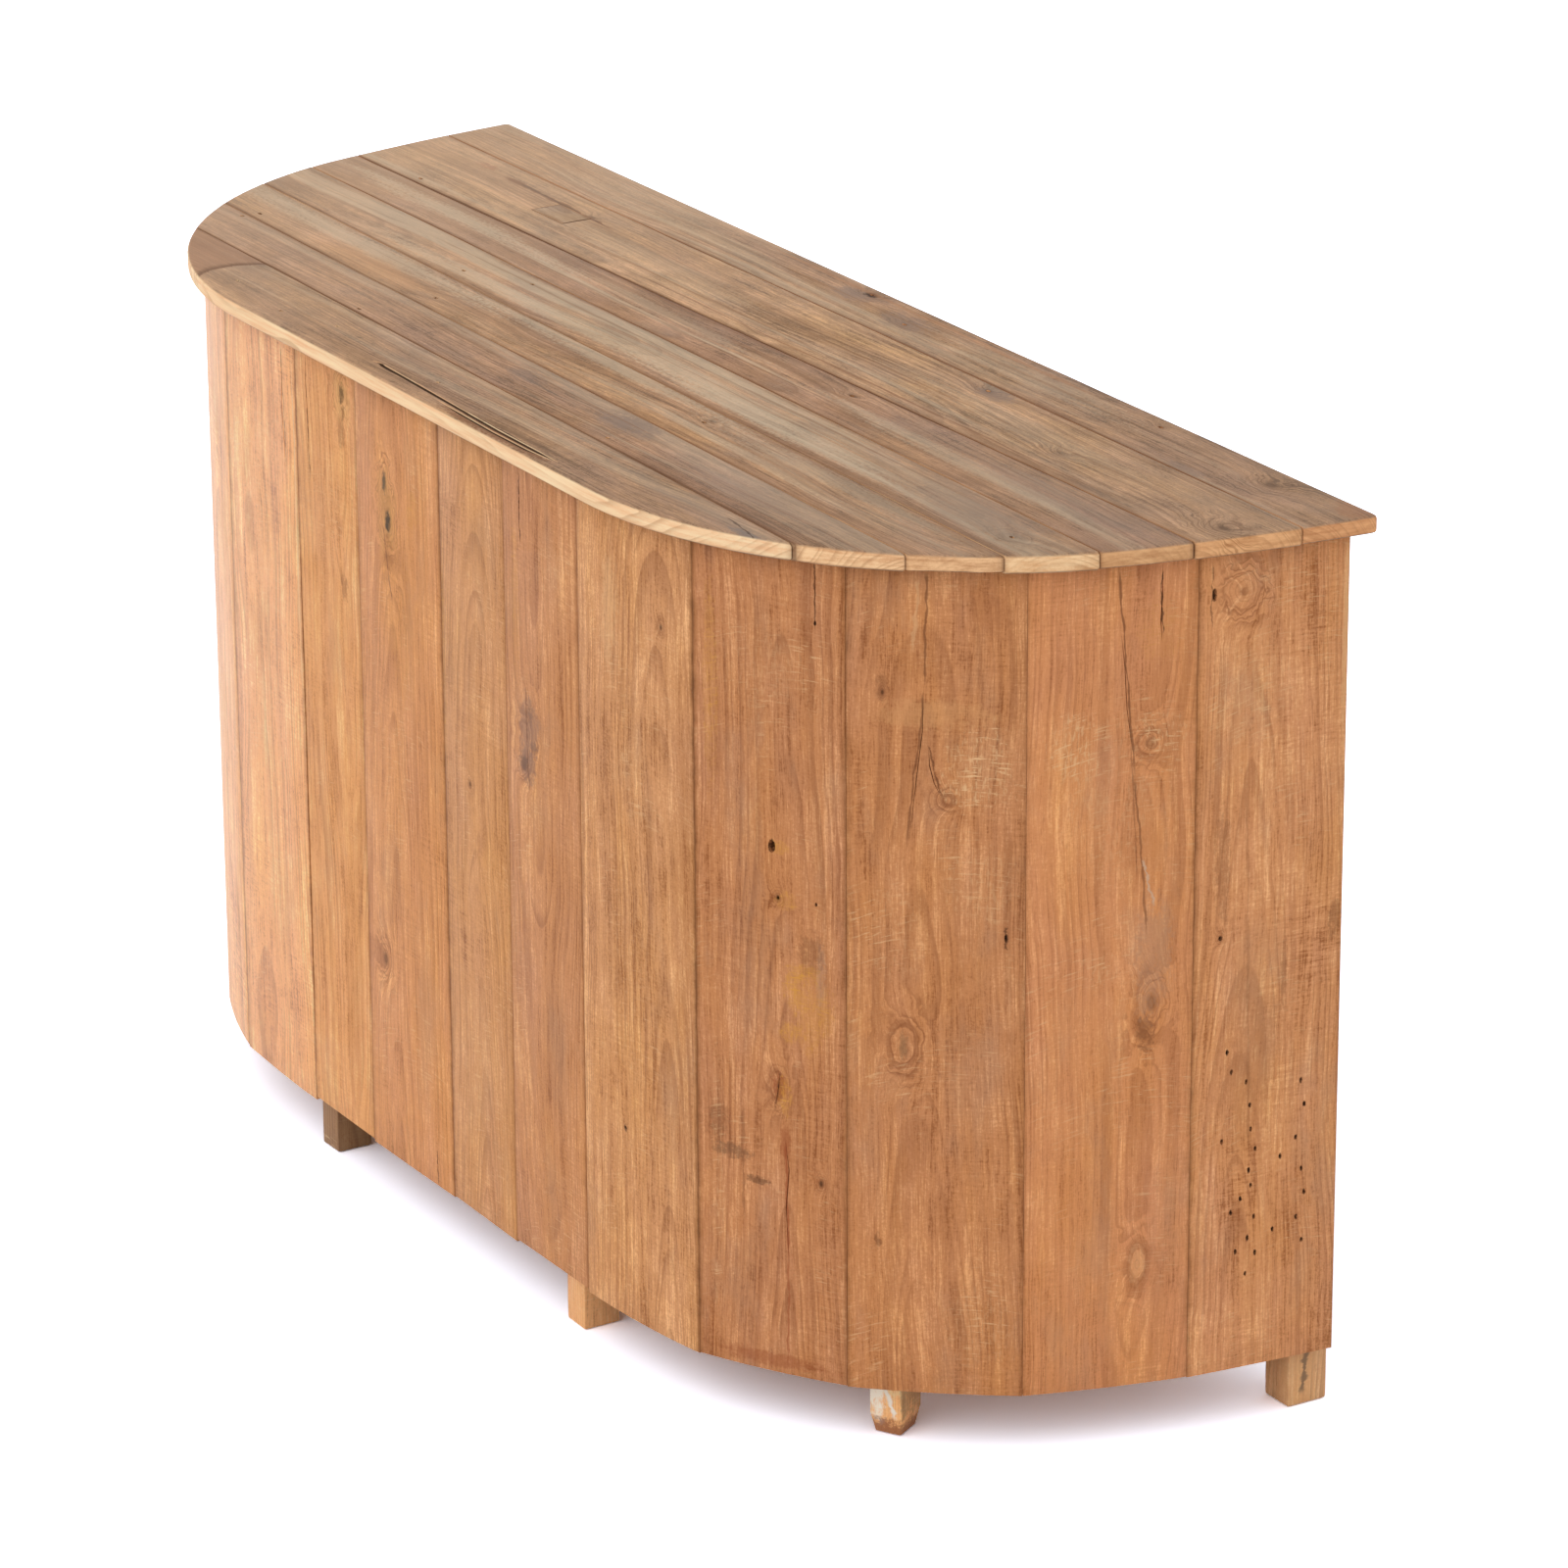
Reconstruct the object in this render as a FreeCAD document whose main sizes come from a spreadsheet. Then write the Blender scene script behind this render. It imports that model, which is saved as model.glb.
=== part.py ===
import FreeCAD, Part
import Sketcher
import math
import os
from FreeCAD import Placement, Rotation, Vector

# A bar cabinet of reclaimed boards: a D-shaped plank top over a wall of upright staves, with the
# service side at the back. Millimetres, +Z up, the customer's side faces -Y, and the origin lies
# on the floor under the middle of the top.

doc = FreeCAD.newDocument("bar_cabinet")
sheet = doc.addObject("Spreadsheet::Sheet", "Sheet")

DRIVING = (
    # Overall sizes and the plan of the top
    ("top_length", 2000),
    ("top_depth", 700),
    ("total_height", 1095),
    ("top_thickness", 22),
    ("corner_radius", 535),
    ("corner_turn", 77),
    ("end_radius", 1930),
    ("top_edge_ease", 3),
    ("top_corner_ease", 9),
    ("plank_gap", 0.6),
    # Repair patch let into the sixth plank
    ("patch_length", 81),
    ("patch_width", 43),
    ("patch_depth", 8),
    ("patch_x", -567.5),
    ("patch_y", 187.5),
    ("patch_clearance", 0.3),
    # Wall of staves
    ("front_overhang", 20),
    ("back_overhang", 25),
    ("skirt_height", 71),
    ("stave_thickness", 17),
    ("stave_gap", 0.6),
    ("stave_round", 0.5),
    # Posts
    ("post_width", 44),
    ("post_depth", 50),
    ("front_post_x", 316),
    ("corner_post_station", 47),
    ("corner_post_turn", 30),
    ("fit_gap", 0.2),
    # Rails, ribs and bearers under the top
    ("rib_height", 40),
    ("rib_width", 60),
    ("back_rail_height", 60),
    ("back_rail_thickness", 30),
    # Deck and shelves
    ("deck_thickness", 20),
    ("deck_bearer_height", 24),
    ("deck_bearer_width", 30),
    ("shelf_thickness", 20),
    ("shelf_height", 590),
    ("cleat_size", 18),
    ("partition_thickness", 18),
    # Doors
    ("door_thickness", 20),
    ("door_gap", 2),
    ("board_gap", 0.6),
    ("ledge_thickness", 18),
    ("ledge_height", 80),
    ("ledge_inset", 60),
    ("ledge_offset", 130),
    ("stop_gap", 0.3),
    # Surface hinges
    ("hinge_length", 64),
    ("hinge_plate", 30),
    ("hinge_metal", 2),
    ("knuckle_radius", 4),
    ("knuckle_lift", 0.4),
    ("knuckle_play", 0.3),
    ("pin_radius", 1.8),
    ("pin_play", 0.05),
    ("pin_head_radius", 3),
    ("pin_head_height", 2),
    # Turned knobs
    ("knob_radius", 15),
    ("knob_neck_radius", 8),
    ("knob_foot_radius", 11),
    ("knob_length", 22),
    ("knob_neck_height", 7),
    ("knob_girth_height", 14),
    ("knob_tenon_radius", 6),
    ("knob_tenon_play", 0.2),
    ("knob_inset", 45),
)
for row, (alias, value) in enumerate(DRIVING, 1):
    sheet.set(f"A{row}", alias)
    sheet.set(f"B{row}", str(value))
    sheet.setAlias(f"B{row}", alias)

# Seams between the top planks, front to back: distance from the back edge at the left end and at
# the right end of the top. The old boards taper, so few seams are parallel.
TOP_SEAMS = ((583, 610), (502, 522), (417, 433), (326, 336), (250, 228), (99, 98))
# Widths of the staves as they follow one another from the right back end round to the left.
STAVE_WIDTHS = (188, 198, 204, 198, 219, 174, 157, 209, 157, 198, 177, 175, 175, 175, 174)
DECK_BOARDS = 4
DOOR_BOARDS = 4
PATCHED_PLANK = 6
# How far a saw cut or a bored hole runs past the wood.
OVERRUN = 1
# A stave whose crown would rise by less than this is left flat.
LEAST_ROUND = 0.01
SIDES = (("left", -1), ("right", 1))

for row, seam in enumerate(TOP_SEAMS, 1):
    for column, end, distance in (("D", "left", seam[0]), ("E", "right", seam[1])):
        sheet.set(f"{column}{row}", str(distance))
        sheet.setAlias(f"{column}{row}", f"seam_{row}_{end}")
for row, width in enumerate(STAVE_WIDTHS, 1):
    sheet.set(f"F{row}", str(width))
    sheet.setAlias(f"F{row}", f"stave_{row}_share")
doc.recompute()

parts = []


def size(alias):
    return float(sheet.get(alias))


def named(thing, label, solids=1):
    """Give a finished sub-part its name and list it for writing with the solids it must have."""
    thing.Label = label
    parts.append((thing, solids))


def box(name, lengths, corner, turn=0):
    """A board or batten: three lengths, each an expression on the sheet, from its low corner."""
    board = doc.addObject("Part::Box", name)
    for side, length in zip(("Length", "Width", "Height"), lengths):
        board.setExpression(side, length)
    board.Placement = Placement(Vector(*corner), Rotation(Vector(0, 0, 1), turn))
    return board


def plate(name, outline, low, thickness):
    """A flat piece sawn to an outline of straight cuts, from its lower face up."""
    edge = doc.addObject("Part::Polygon", f"{name}_outline")
    edge.Nodes = [Vector(x, y, low) for x, y in outline]
    edge.Close = True
    sawn = doc.addObject("Part::Extrusion", name)
    sawn.Base = edge
    sawn.DirMode = "Custom"
    sawn.Dir = Vector(0, 0, 1)
    sawn.setExpression("LengthFwd", thickness)
    sawn.Solid = True
    return sawn


def boolean(kind, name, base, tool):
    result = doc.addObject(f"Part::{kind}", name)
    result.Base = base
    result.Tool = tool
    return result


def named_group(members, label):
    """Like pieces that share one node, as separate solids."""
    compound = doc.addObject("Part::Compound", f"{label}_group")
    compound.Links = members
    named(compound, label, len(members))


def origin_plane(body, role):
    return next(f for f in body.Origin.OriginFeatures if f.Role == role)


def sketch_on(body, name, role):
    sketch = body.newObject("Sketcher::SketchObject", name)
    sketch.AttachmentSupport = [(origin_plane(body, role), "")]
    sketch.MapMode = "FlatFace"
    return sketch


def pad(body, sketch, length):
    feature = body.newObject("PartDesign::Pad", f"{body.Name}_pad")
    feature.Profile = sketch
    feature.setExpression("Length", length)
    return feature


# Levels and plan lines that several pieces share
half_length = size("top_length") / 2
front_edge = -size("top_depth") / 2
back_edge = size("top_depth") / 2
back_face = back_edge - size("back_overhang")
underside = size("total_height") - size("top_thickness")
rib_low = underside - size("rib_height")
deck_low = size("skirt_height") + size("deck_bearer_height")
deck_top = deck_low + size("deck_thickness")
gap = size("fit_gap")
frame_height = "Sheet.total_height - Sheet.top_thickness"


# Plan of the top: a flat front, a tight arc at each front corner and a slack arc along each end,
# all tangent. An inset copy of it keeps the arcs' centres and shortens their radii.
turn = math.radians(size("corner_turn"))
corner_radius = size("corner_radius")
end_radius = size("end_radius")


def end_turn(inset, line):
    """Direction of the end arc, from the front's own direction, where it meets a line across."""
    centre = front_edge + corner_radius + (end_radius - corner_radius) * math.cos(turn)
    return math.acos((centre - line) / (end_radius - inset))


last_turn = end_turn(0, back_edge)
flat_half = half_length - corner_radius * math.sin(turn) - end_radius * (math.sin(last_turn) - math.sin(turn))
corner_centre = (flat_half, front_edge + corner_radius)
end_centre = tuple(
    c - (end_radius - corner_radius) * d
    for c, d in zip(corner_centre, (math.sin(turn), -math.cos(turn)))
)


def on_arc(centre, radius, angle):
    return centre[0] + radius * math.sin(angle), centre[1] - radius * math.cos(angle)


def outline_length(inset):
    """Half the length of the inset outline, from the front's middle to the staves' back end."""
    ends = (end_radius - inset) * (end_turn(inset, back_face) - turn)
    return flat_half + (corner_radius - inset) * turn + ends


def outline_point(travel, inset):
    """Point of the inset outline at a distance from the front's middle, negative to the left."""
    side = math.copysign(1, travel)
    run = abs(travel)
    corner_run = (corner_radius - inset) * turn
    if run <= flat_half:
        x, y = run, front_edge + inset
    elif run <= flat_half + corner_run:
        x, y = on_arc(corner_centre, corner_radius - inset, (run - flat_half) / (corner_radius - inset))
    else:
        angle = turn + (run - flat_half - corner_run) / (end_radius - inset)
        x, y = on_arc(end_centre, end_radius - inset, angle)
    return Vector(side * x, y, 0)


def top_blank():
    """The whole top before it is divided: its plan padded, rounded back corners and broken edges."""
    body = doc.addObject("PartDesign::Body", "top_blank")
    sketch = sketch_on(body, "top_plan", "XY_Plane")
    stations = []
    for side in (1, -1):
        corner_mid = on_arc(corner_centre, corner_radius, turn / 2)
        corner_end = on_arc(corner_centre, corner_radius, turn)
        end_mid = on_arc(end_centre, end_radius, (turn + last_turn) / 2)
        plan = ((flat_half, front_edge), corner_mid, corner_end, end_mid, (half_length, back_edge))
        stations.append([Vector(side * x, y, 0) for x, y in plan])
    right, left = stations
    sketch.addGeometry(Part.LineSegment(left[0], right[0]))
    for first, middle, last in (right[:3], right[2:]):
        sketch.addGeometry(Part.Arc(first, middle, last))
    sketch.addGeometry(Part.LineSegment(right[-1], left[-1]))
    for first, middle, last in (left[:1:-1], left[2::-1]):
        sketch.addGeometry(Part.Arc(first, middle, last))
    whole = pad(body, sketch, "Sheet.top_thickness")
    body.Placement = Placement(Vector(0, 0, underside), Rotation())
    doc.recompute()
    upright = [
        f"Edge{i}"
        for i, edge in enumerate(whole.Shape.Edges, 1)
        if edge.BoundBox.XLength + edge.BoundBox.YLength < 1e-6 and edge.BoundBox.YMax > back_edge - OVERRUN
    ]
    corners = body.newObject("PartDesign::Fillet", "top_corners")
    corners.Base = (whole, upright)
    corners.setExpression("Radius", "Sheet.top_corner_ease")
    doc.recompute()
    rim = [f"Edge{i}" for i, e in enumerate(corners.Shape.Edges, 1) if e.BoundBox.ZLength < 1e-6]
    eased = body.newObject("PartDesign::Chamfer", "top_edges")
    eased.Base = (corners, rim)
    eased.setExpression("Size", "Sheet.top_edge_ease")
    doc.recompute()
    return body


def plank_slab(number):
    """The strip of the top between two neighbouring seams, longer than the top itself."""
    body = doc.addObject("PartDesign::Body", f"plank_strip_{number}")
    sketch = sketch_on(body, f"plank_strip_plan_{number}", "XY_Plane")
    half_gap = size("plank_gap") / 2
    lines = []
    for seam, trim in ((number - 1, half_gap), (number, -half_gap)):
        if seam == 0:
            ends = (front_edge - OVERRUN, front_edge - OVERRUN)
        elif seam > len(TOP_SEAMS):
            ends = (back_edge + OVERRUN, back_edge + OVERRUN)
        else:
            ends = [back_edge - size(f"seam_{seam}_{end}") + trim for end, _ in SIDES]
        lines.append([Vector(x, y, 0) for x, y in zip((-half_length - OVERRUN, half_length + OVERRUN), ends)])
    near, far = lines
    corners = (near[0], near[1], far[1], far[0])
    for first, last in zip(corners, corners[1:] + corners[:1]):
        sketch.addGeometry(Part.LineSegment(first, last))
    pad(body, sketch, "Sheet.top_thickness")
    body.Placement = Placement(Vector(0, 0, underside), Rotation())
    return body


def top_planks():
    """Seven planks side by side; the patch sits in a shallow recess in the one that it mends."""
    blank = top_blank()
    play = size("patch_clearance")
    low = size("total_height") - size("patch_depth")
    for number in range(1, len(TOP_SEAMS) + 2):
        strip = plank_slab(number)
        plank = boolean("Common", f"plank_{number}_sawn", blank, strip)
        if number == PATCHED_PLANK:
            left = size("patch_x") - size("patch_length") / 2
            front = size("patch_y") - size("patch_width") / 2
            lengths = ("Sheet.patch_length", "Sheet.patch_width", f"Sheet.patch_depth + {OVERRUN}")
            recess = box("patch_recess", lengths, (left, front, low))
            plank = boolean("Cut", f"plank_{number}_mended", plank, recess)
            lengths = ("Sheet.patch_length - 2 * Sheet.patch_clearance",
                       "Sheet.patch_width - 2 * Sheet.patch_clearance", "Sheet.patch_depth")
            named(box("patch", lengths, (left + play, front + play, low)), "top_patch")
        named(plank, f"top_plank_{number}")


# Staves: each is a flat board whose edges are bevelled to half the turn to its neighbour and whose
# outer face is planed part of the way to the round.
def stave_corners():
    """Outer corners of the staves in plan, from the right back end round to the left."""
    inset = size("front_overhang")
    half = outline_length(inset)
    shares = [size(f"stave_{n}_share") for n in range(1, len(STAVE_WIDTHS) + 1)]
    travel = [half]
    for share in shares:
        travel.append(travel[-1] - 2 * half * share / sum(shares))
    travel[-1] = -half
    middles = [outline_point((a + b) / 2, inset) for a, b in zip(travel, travel[1:])]
    return [outline_point(run, inset) for run in travel], middles


outer_corners, outer_middles = stave_corners()
headings = [
    math.atan2(b.y - a.y, b.x - a.x) % (2 * math.pi) for a, b in zip(outer_corners, outer_corners[1:])
]
# Half the turn at each corner; the two free ends are cut square.
bevels = [0] + [(b - a) / 2 for a, b in zip(headings, headings[1:])] + [0]


def inner_corners(inset):
    """Corners of the staves' inner faces in plan, moved further in by a clearance."""
    depth = size("stave_thickness") + inset
    corners = []
    for index, corner in enumerate(outer_corners):
        board = min(index, len(headings) - 1)
        heading = headings[board] - bevels[index]
        outward = Vector(-math.sin(heading), math.cos(heading), 0)
        corners.append(corner - outward * (depth / math.cos(bevels[index])))
    return corners


def stave(number):
    first, last = outer_corners[number - 1], outer_corners[number]
    heading = headings[number - 1]
    middle = (first + last) * 0.5
    outward = Vector(-math.sin(heading), math.cos(heading), 0)
    thickness = size("stave_thickness")
    rise = size("stave_round") * (outer_middles[number - 1] - middle).dot(outward)
    half = (last - first).Length / 2
    trims = [
        size("stave_gap") / 2 / math.cos(bevel) if 0 < index < len(outer_corners) - 1 else 0
        for index, bevel in ((number - 1, bevels[number - 1]), (number, bevels[number]))
    ]
    low_x, high_x = -half + trims[0], half - trims[1]
    low_in = low_x + thickness * math.tan(abs(bevels[number - 1]))
    high_in = high_x - thickness * math.tan(abs(bevels[number]))
    body = doc.addObject("PartDesign::Body", f"stave_{number:02d}")
    sketch = sketch_on(body, f"stave_section_{number:02d}", "XY_Plane")
    near_in, far_in = Vector(low_in, -thickness, 0), Vector(high_in, -thickness, 0)
    near_out, far_out = Vector(low_x, 0, 0), Vector(high_x, 0, 0)
    rounded = rise > LEAST_ROUND
    inside = sketch.addGeometry(Part.LineSegment(near_in, far_in))
    far_edge = sketch.addGeometry(Part.LineSegment(far_in, far_out))
    if rounded:
        crown = Vector((low_x + high_x) / 2, rise, 0)
        face = sketch.addGeometry(Part.Arc(far_out, crown, near_out))
    else:
        face = sketch.addGeometry(Part.LineSegment(far_out, near_out))
    near_edge = sketch.addGeometry(Part.LineSegment(near_out, near_in))
    for one, other in ((inside, far_edge), (far_edge, face), (face, near_edge), (near_edge, inside)):
        sketch.addConstraint(Sketcher.Constraint("Coincident", one, 2, other, 1))
    sketch.addConstraint(Sketcher.Constraint("Horizontal", inside))
    ends = ((far_edge, 2, high_x), (near_edge, 1, low_x), (far_edge, 1, high_in), (near_edge, 2, low_in))
    for edge, end, x in ends:
        sketch.addConstraint(Sketcher.Constraint("DistanceX", -1, 1, edge, end, x))
    sketch.addConstraint(Sketcher.Constraint("PointOnObject", far_edge, 2, -1))
    sketch.addConstraint(Sketcher.Constraint("PointOnObject", near_edge, 1, -1))
    depth = sketch.addConstraint(Sketcher.Constraint("DistanceY", inside, 1, near_edge, 1, thickness))
    sketch.renameConstraint(depth, "thickness")
    sketch.setExpression("Constraints.thickness", "Sheet.stave_thickness")
    if rounded:
        radius = ((high_x - low_x) ** 2 / 4 + rise ** 2) / (2 * rise)
        sketch.addConstraint(Sketcher.Constraint("Radius", face, radius))
    pad(body, sketch, f"{frame_height} - Sheet.skirt_height")
    place = Vector(middle.x, middle.y, size("skirt_height"))
    body.Placement = Placement(place, Rotation(Vector(0, 0, 1), math.degrees(heading)))
    named(body, f"stave_{number:02d}")


# Posts: square timbers from the floor to the top, set against the staves' inner faces.
wall = inner_corners(gap)


def wall_crossing(start, direction):
    """Where a line in plan first meets the staves' inner faces."""
    hits = []
    for a, b in zip(wall, wall[1:]):
        along = b - a
        across = direction.x * along.y - direction.y * along.x
        if abs(across) > 1e-9:
            reach = ((a.x - start.x) * along.y - (a.y - start.y) * along.x) / across
            share = ((a.x - start.x) * direction.y - (a.y - start.y) * direction.x) / across
            if reach > 0 and 0 <= share <= 1:
                hits.append(reach)
    return start + direction * min(hits)


post_width, post_depth = size("post_width"), size("post_depth")
door_post_in = size("front_post_x") - post_width / 2
door_post_out = size("front_post_x") + post_width / 2
front_post_y = max(wall_crossing(Vector(s * door_post_out, 0, 0), Vector(0, -1, 0)).y for _, s in SIDES)
back_post_y = back_face - post_depth
back_post_x = min(abs(wall_crossing(Vector(0, back_post_y, 0), Vector(s, 0, 0)).x) for _, s in SIDES)
inner_back_x = back_post_x - post_width


def corner_post_place(side):
    """Low corner and turn of a corner post, whose outer front arris meets the wall."""
    station = math.radians(size("corner_post_station"))
    centre = Vector(side * corner_centre[0], corner_centre[1], 0)
    touch = wall_crossing(centre, Vector(side * math.sin(station), -math.cos(station), 0))
    angle = side * size("corner_post_turn")
    along = Rotation(Vector(0, 0, 1), angle).multVec(Vector(1, 0, 0))
    return (touch - along * post_width if side > 0 else touch), angle, touch


def post_places():
    """Name, low corner in plan, turn and height expression of every post."""
    places = []
    for name, side in SIDES:
        centre = side * size("front_post_x")
        corner, angle, _ = corner_post_place(side)
        back = inner_back_x if side > 0 else -back_post_x
        places.append((f"front_{name}_post", (centre - post_width / 2, front_post_y), 0, frame_height))
        places.append((f"corner_{name}_post", (corner.x, corner.y), angle, frame_height))
        places.append((f"back_{name}_post", (back, back_post_y), 0, frame_height))
        under_rail = f"{frame_height} - Sheet.back_rail_height"
        places.append((f"{name}_door_post", (centre - post_width / 2, back_post_y), 0, under_rail))
    return places


def posts():
    for name, corner, angle, height in post_places():
        named(box(name, ("Sheet.post_width", "Sheet.post_depth", height), (*corner, 0), angle), name)


def post_sockets():
    """Room for the posts in whatever is cut round them: each post and its fit gap all round.

    The room runs on into the wall, so that no sliver is left between a post and the staves.
    """
    sockets = []
    for name, corner, angle, _ in post_places():
        spill = Vector(gap, gap, 0)
        width = "Sheet.post_width + 2 * Sheet.fit_gap"
        depth = "Sheet.post_depth + 2 * Sheet.fit_gap"
        if name.startswith("back"):
            width += " + Sheet.stave_thickness"
            if name == "back_left_post":
                spill.x += size("stave_thickness")
        elif not name.endswith("door_post"):
            depth += " + Sheet.rib_width"
            spill.y += size("rib_width")
        start = Vector(*corner, 0) - Rotation(Vector(0, 0, 1), angle).multVec(spill)
        sockets.append(box(f"{name}_socket", (width, depth, "Sheet.total_height"), start, angle))
    fused = doc.addObject("Part::MultiFuse", "post_sockets")
    fused.Shapes = sockets
    return fused


def rib(name, side, start, stop, back_line, sockets):
    """A former sawn from one plank: its outer edge cut to the staves, its inner edge straight."""
    middle = [c for c in wall if start.y < c.y < stop.y and c.x * side > start.x * side]
    outer = [start] + sorted(middle, key=lambda c: c.y) + [stop]
    outline = [(c.x, c.y) for c in outer + back_line]
    blank = plate(f"{name}_blank", outline, rib_low, "Sheet.rib_height")
    named(boolean("Cut", f"{name}_sawn", blank, sockets), name)


def upper_frame(sockets):
    """Front rail, two sawn ribs on each side, the back rail and the bearers under the top."""
    rail_length = "2 * (Sheet.front_post_x - Sheet.post_width / 2 - Sheet.fit_gap)"
    lengths = (rail_length, "Sheet.post_depth", "Sheet.rib_height")
    named(box("front_rail", lengths, (gap - door_post_in, front_post_y, rib_low)), "upper_front_rail")
    for name, side in SIDES:
        _, angle, touch = corner_post_place(side)
        across = Rotation(Vector(0, 0, 1), angle).multVec(Vector(-side * post_width / 2, post_depth / 2, 0))
        centre = touch + across
        start = wall_crossing(Vector(side * (door_post_out + gap), 0, 0), Vector(0, -1, 0))
        heel = start + Vector(0, post_depth, 0)
        rib(f"upper_{name}_front_rib", side, start, touch, [centre, heel], sockets)
        stop = Vector(side * back_post_x, back_post_y - gap, 0)
        heel = stop - Vector(side * size("rib_width"), 0, 0)
        rib(f"upper_{name}_end_rib", side, touch, stop, [heel, centre], sockets)
    rail_y = back_face - size("back_rail_thickness")
    rail_low = underside - size("back_rail_height")
    width = f"{2 * inner_back_x} - 2 * Sheet.fit_gap"
    rail = box("back_rail", (width, "Sheet.back_rail_thickness", "Sheet.back_rail_height"),
               (gap - inner_back_x, rail_y, rail_low))
    named(rail, "back_top_rail")
    bearer_start = front_post_y + post_depth + gap
    reach = f"{rail_y - bearer_start} - Sheet.fit_gap"
    bearers = [
        box(f"bearer_{n}", ("Sheet.post_width", reach, "Sheet.rib_height"),
            (x - post_width / 2, bearer_start, rib_low))
        for n, x in enumerate((-size("front_post_x"), 0, size("front_post_x")), 1)
    ]
    named_group(bearers, "top_bearers")


def floor_plan(y_stop):
    """Outline inside the wall, closed by a straight line across the back."""
    corners = [c for c in wall if c.y < y_stop]
    ends = [wall_crossing(Vector(0, y_stop, 0), Vector(s, 0, 0)) for s in (1, -1)]
    return [(c.x, c.y) for c in [ends[0]] + corners + [ends[1]]]


def deck(sockets):
    """Four boards inside the wall, cut round the posts, on two bearers between the posts.

    The first board ends just before the corner posts, and the others share the rest of the depth.
    """
    back_stop = min(back_face, wall[0].y, wall[-1].y) - gap
    blank = plate("deck_blank", floor_plan(back_stop), deck_low, "Sheet.deck_thickness")
    cut = boolean("Cut", "deck_cut", blank, sockets)
    turned = math.radians(size("corner_post_turn"))
    first_seam = min(corner_post_place(s)[2].y for _, s in SIDES) - post_width * math.sin(turned) - gap
    depth = (back_stop - first_seam) / (DECK_BOARDS - 1)
    seams = [min(c.y for c in wall)] + [first_seam + n * depth for n in range(DECK_BOARDS)]
    for number, (near, high) in enumerate(zip(seams, seams[1:]), 1):
        low = near + (0 if number == 1 else size("board_gap"))
        strip = box(f"deck_strip_{number}", ("Sheet.top_length", f"{high - low}", "Sheet.deck_thickness"),
                    (-half_length, low, deck_low))
        named(boolean("Common", f"deck_{number}", cut, strip), f"deck_board_{number}")
    run = f"{back_post_y - front_post_y} + Sheet.post_depth"
    bearers = []
    for name, side in SIDES:
        low_x = door_post_in - size("deck_bearer_width") if side > 0 else -door_post_in
        lengths = ("Sheet.deck_bearer_width", run, "Sheet.deck_bearer_height")
        bearers.append(box(f"{name}_deck_bearer", lengths, (low_x, front_post_y, size("skirt_height"))))
    named_group(bearers, "deck_bearers")


def partitions_and_shelves(sockets):
    """Two partitions between the posts, a shelf in each bay, and the cleats that carry them."""
    start = front_post_y + post_depth + gap
    depth = f"{back_post_y - start} - Sheet.fit_gap"
    thickness = size("partition_thickness")
    level = size("shelf_height")
    inner = size("front_post_x") - thickness / 2
    outer = inner + thickness
    cleats = []
    for name, side in SIDES:
        centre = side * size("front_post_x")
        height = f"{rib_low - deck_top}"
        panel = box(f"{name}_panel", ("Sheet.partition_thickness", depth, height),
                    (centre - thickness / 2, start, deck_top))
        named(panel, f"{name}_partition")
        for face in (inner - size("cleat_size"), outer):
            low_x = face if side > 0 else -face - size("cleat_size")
            cleats.append(box(f"{name}_cleat", ("Sheet.cleat_size", depth, "Sheet.cleat_size"),
                              (low_x, start, level - size("cleat_size"))))
        stop = back_face - size("door_thickness") - size("stop_gap")
        blank = plate(f"{name}_shelf_blank", floor_plan(stop), level, "Sheet.shelf_thickness")
        cut = boolean("Cut", f"{name}_shelf_cut", blank, sockets)
        low_x = outer + gap if side > 0 else -half_length
        reach = ("Sheet.top_length / 2 - Sheet.front_post_x - Sheet.partition_thickness / 2 - Sheet.fit_gap",
                 "Sheet.top_depth", "Sheet.shelf_thickness")
        bay = box(f"{name}_bay", reach, (low_x, front_edge, level))
        named(boolean("Common", f"{name}_bay_shelf", cut, bay), f"{name}_shelf")
    lengths = ("2 * (Sheet.front_post_x - Sheet.partition_thickness / 2 - Sheet.fit_gap)",
               depth, "Sheet.shelf_thickness")
    named(box("middle_shelf", lengths, (gap - inner, start, level)), "centre_shelf")
    named_group(cleats, "shelf_cleats")


# Doors: ledged board doors that close flush between the posts, on surface hinges at the outer post.
door_low = deck_top + size("door_gap")
door_high = underside - size("back_rail_height") - size("door_gap")
door_inner = door_post_out + size("door_gap")
door_outer = inner_back_x - size("door_gap")
door_front = back_face - size("door_thickness")
ledge_levels = (door_low + size("ledge_offset"), door_high - size("ledge_offset"))
pin_x = inner_back_x - size("door_gap") / 2
pin_y = back_face + size("knuckle_radius") + size("knuckle_lift")
knob_x = door_inner + size("knob_inset")
knob_z = (door_low + door_high) / 2


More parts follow.
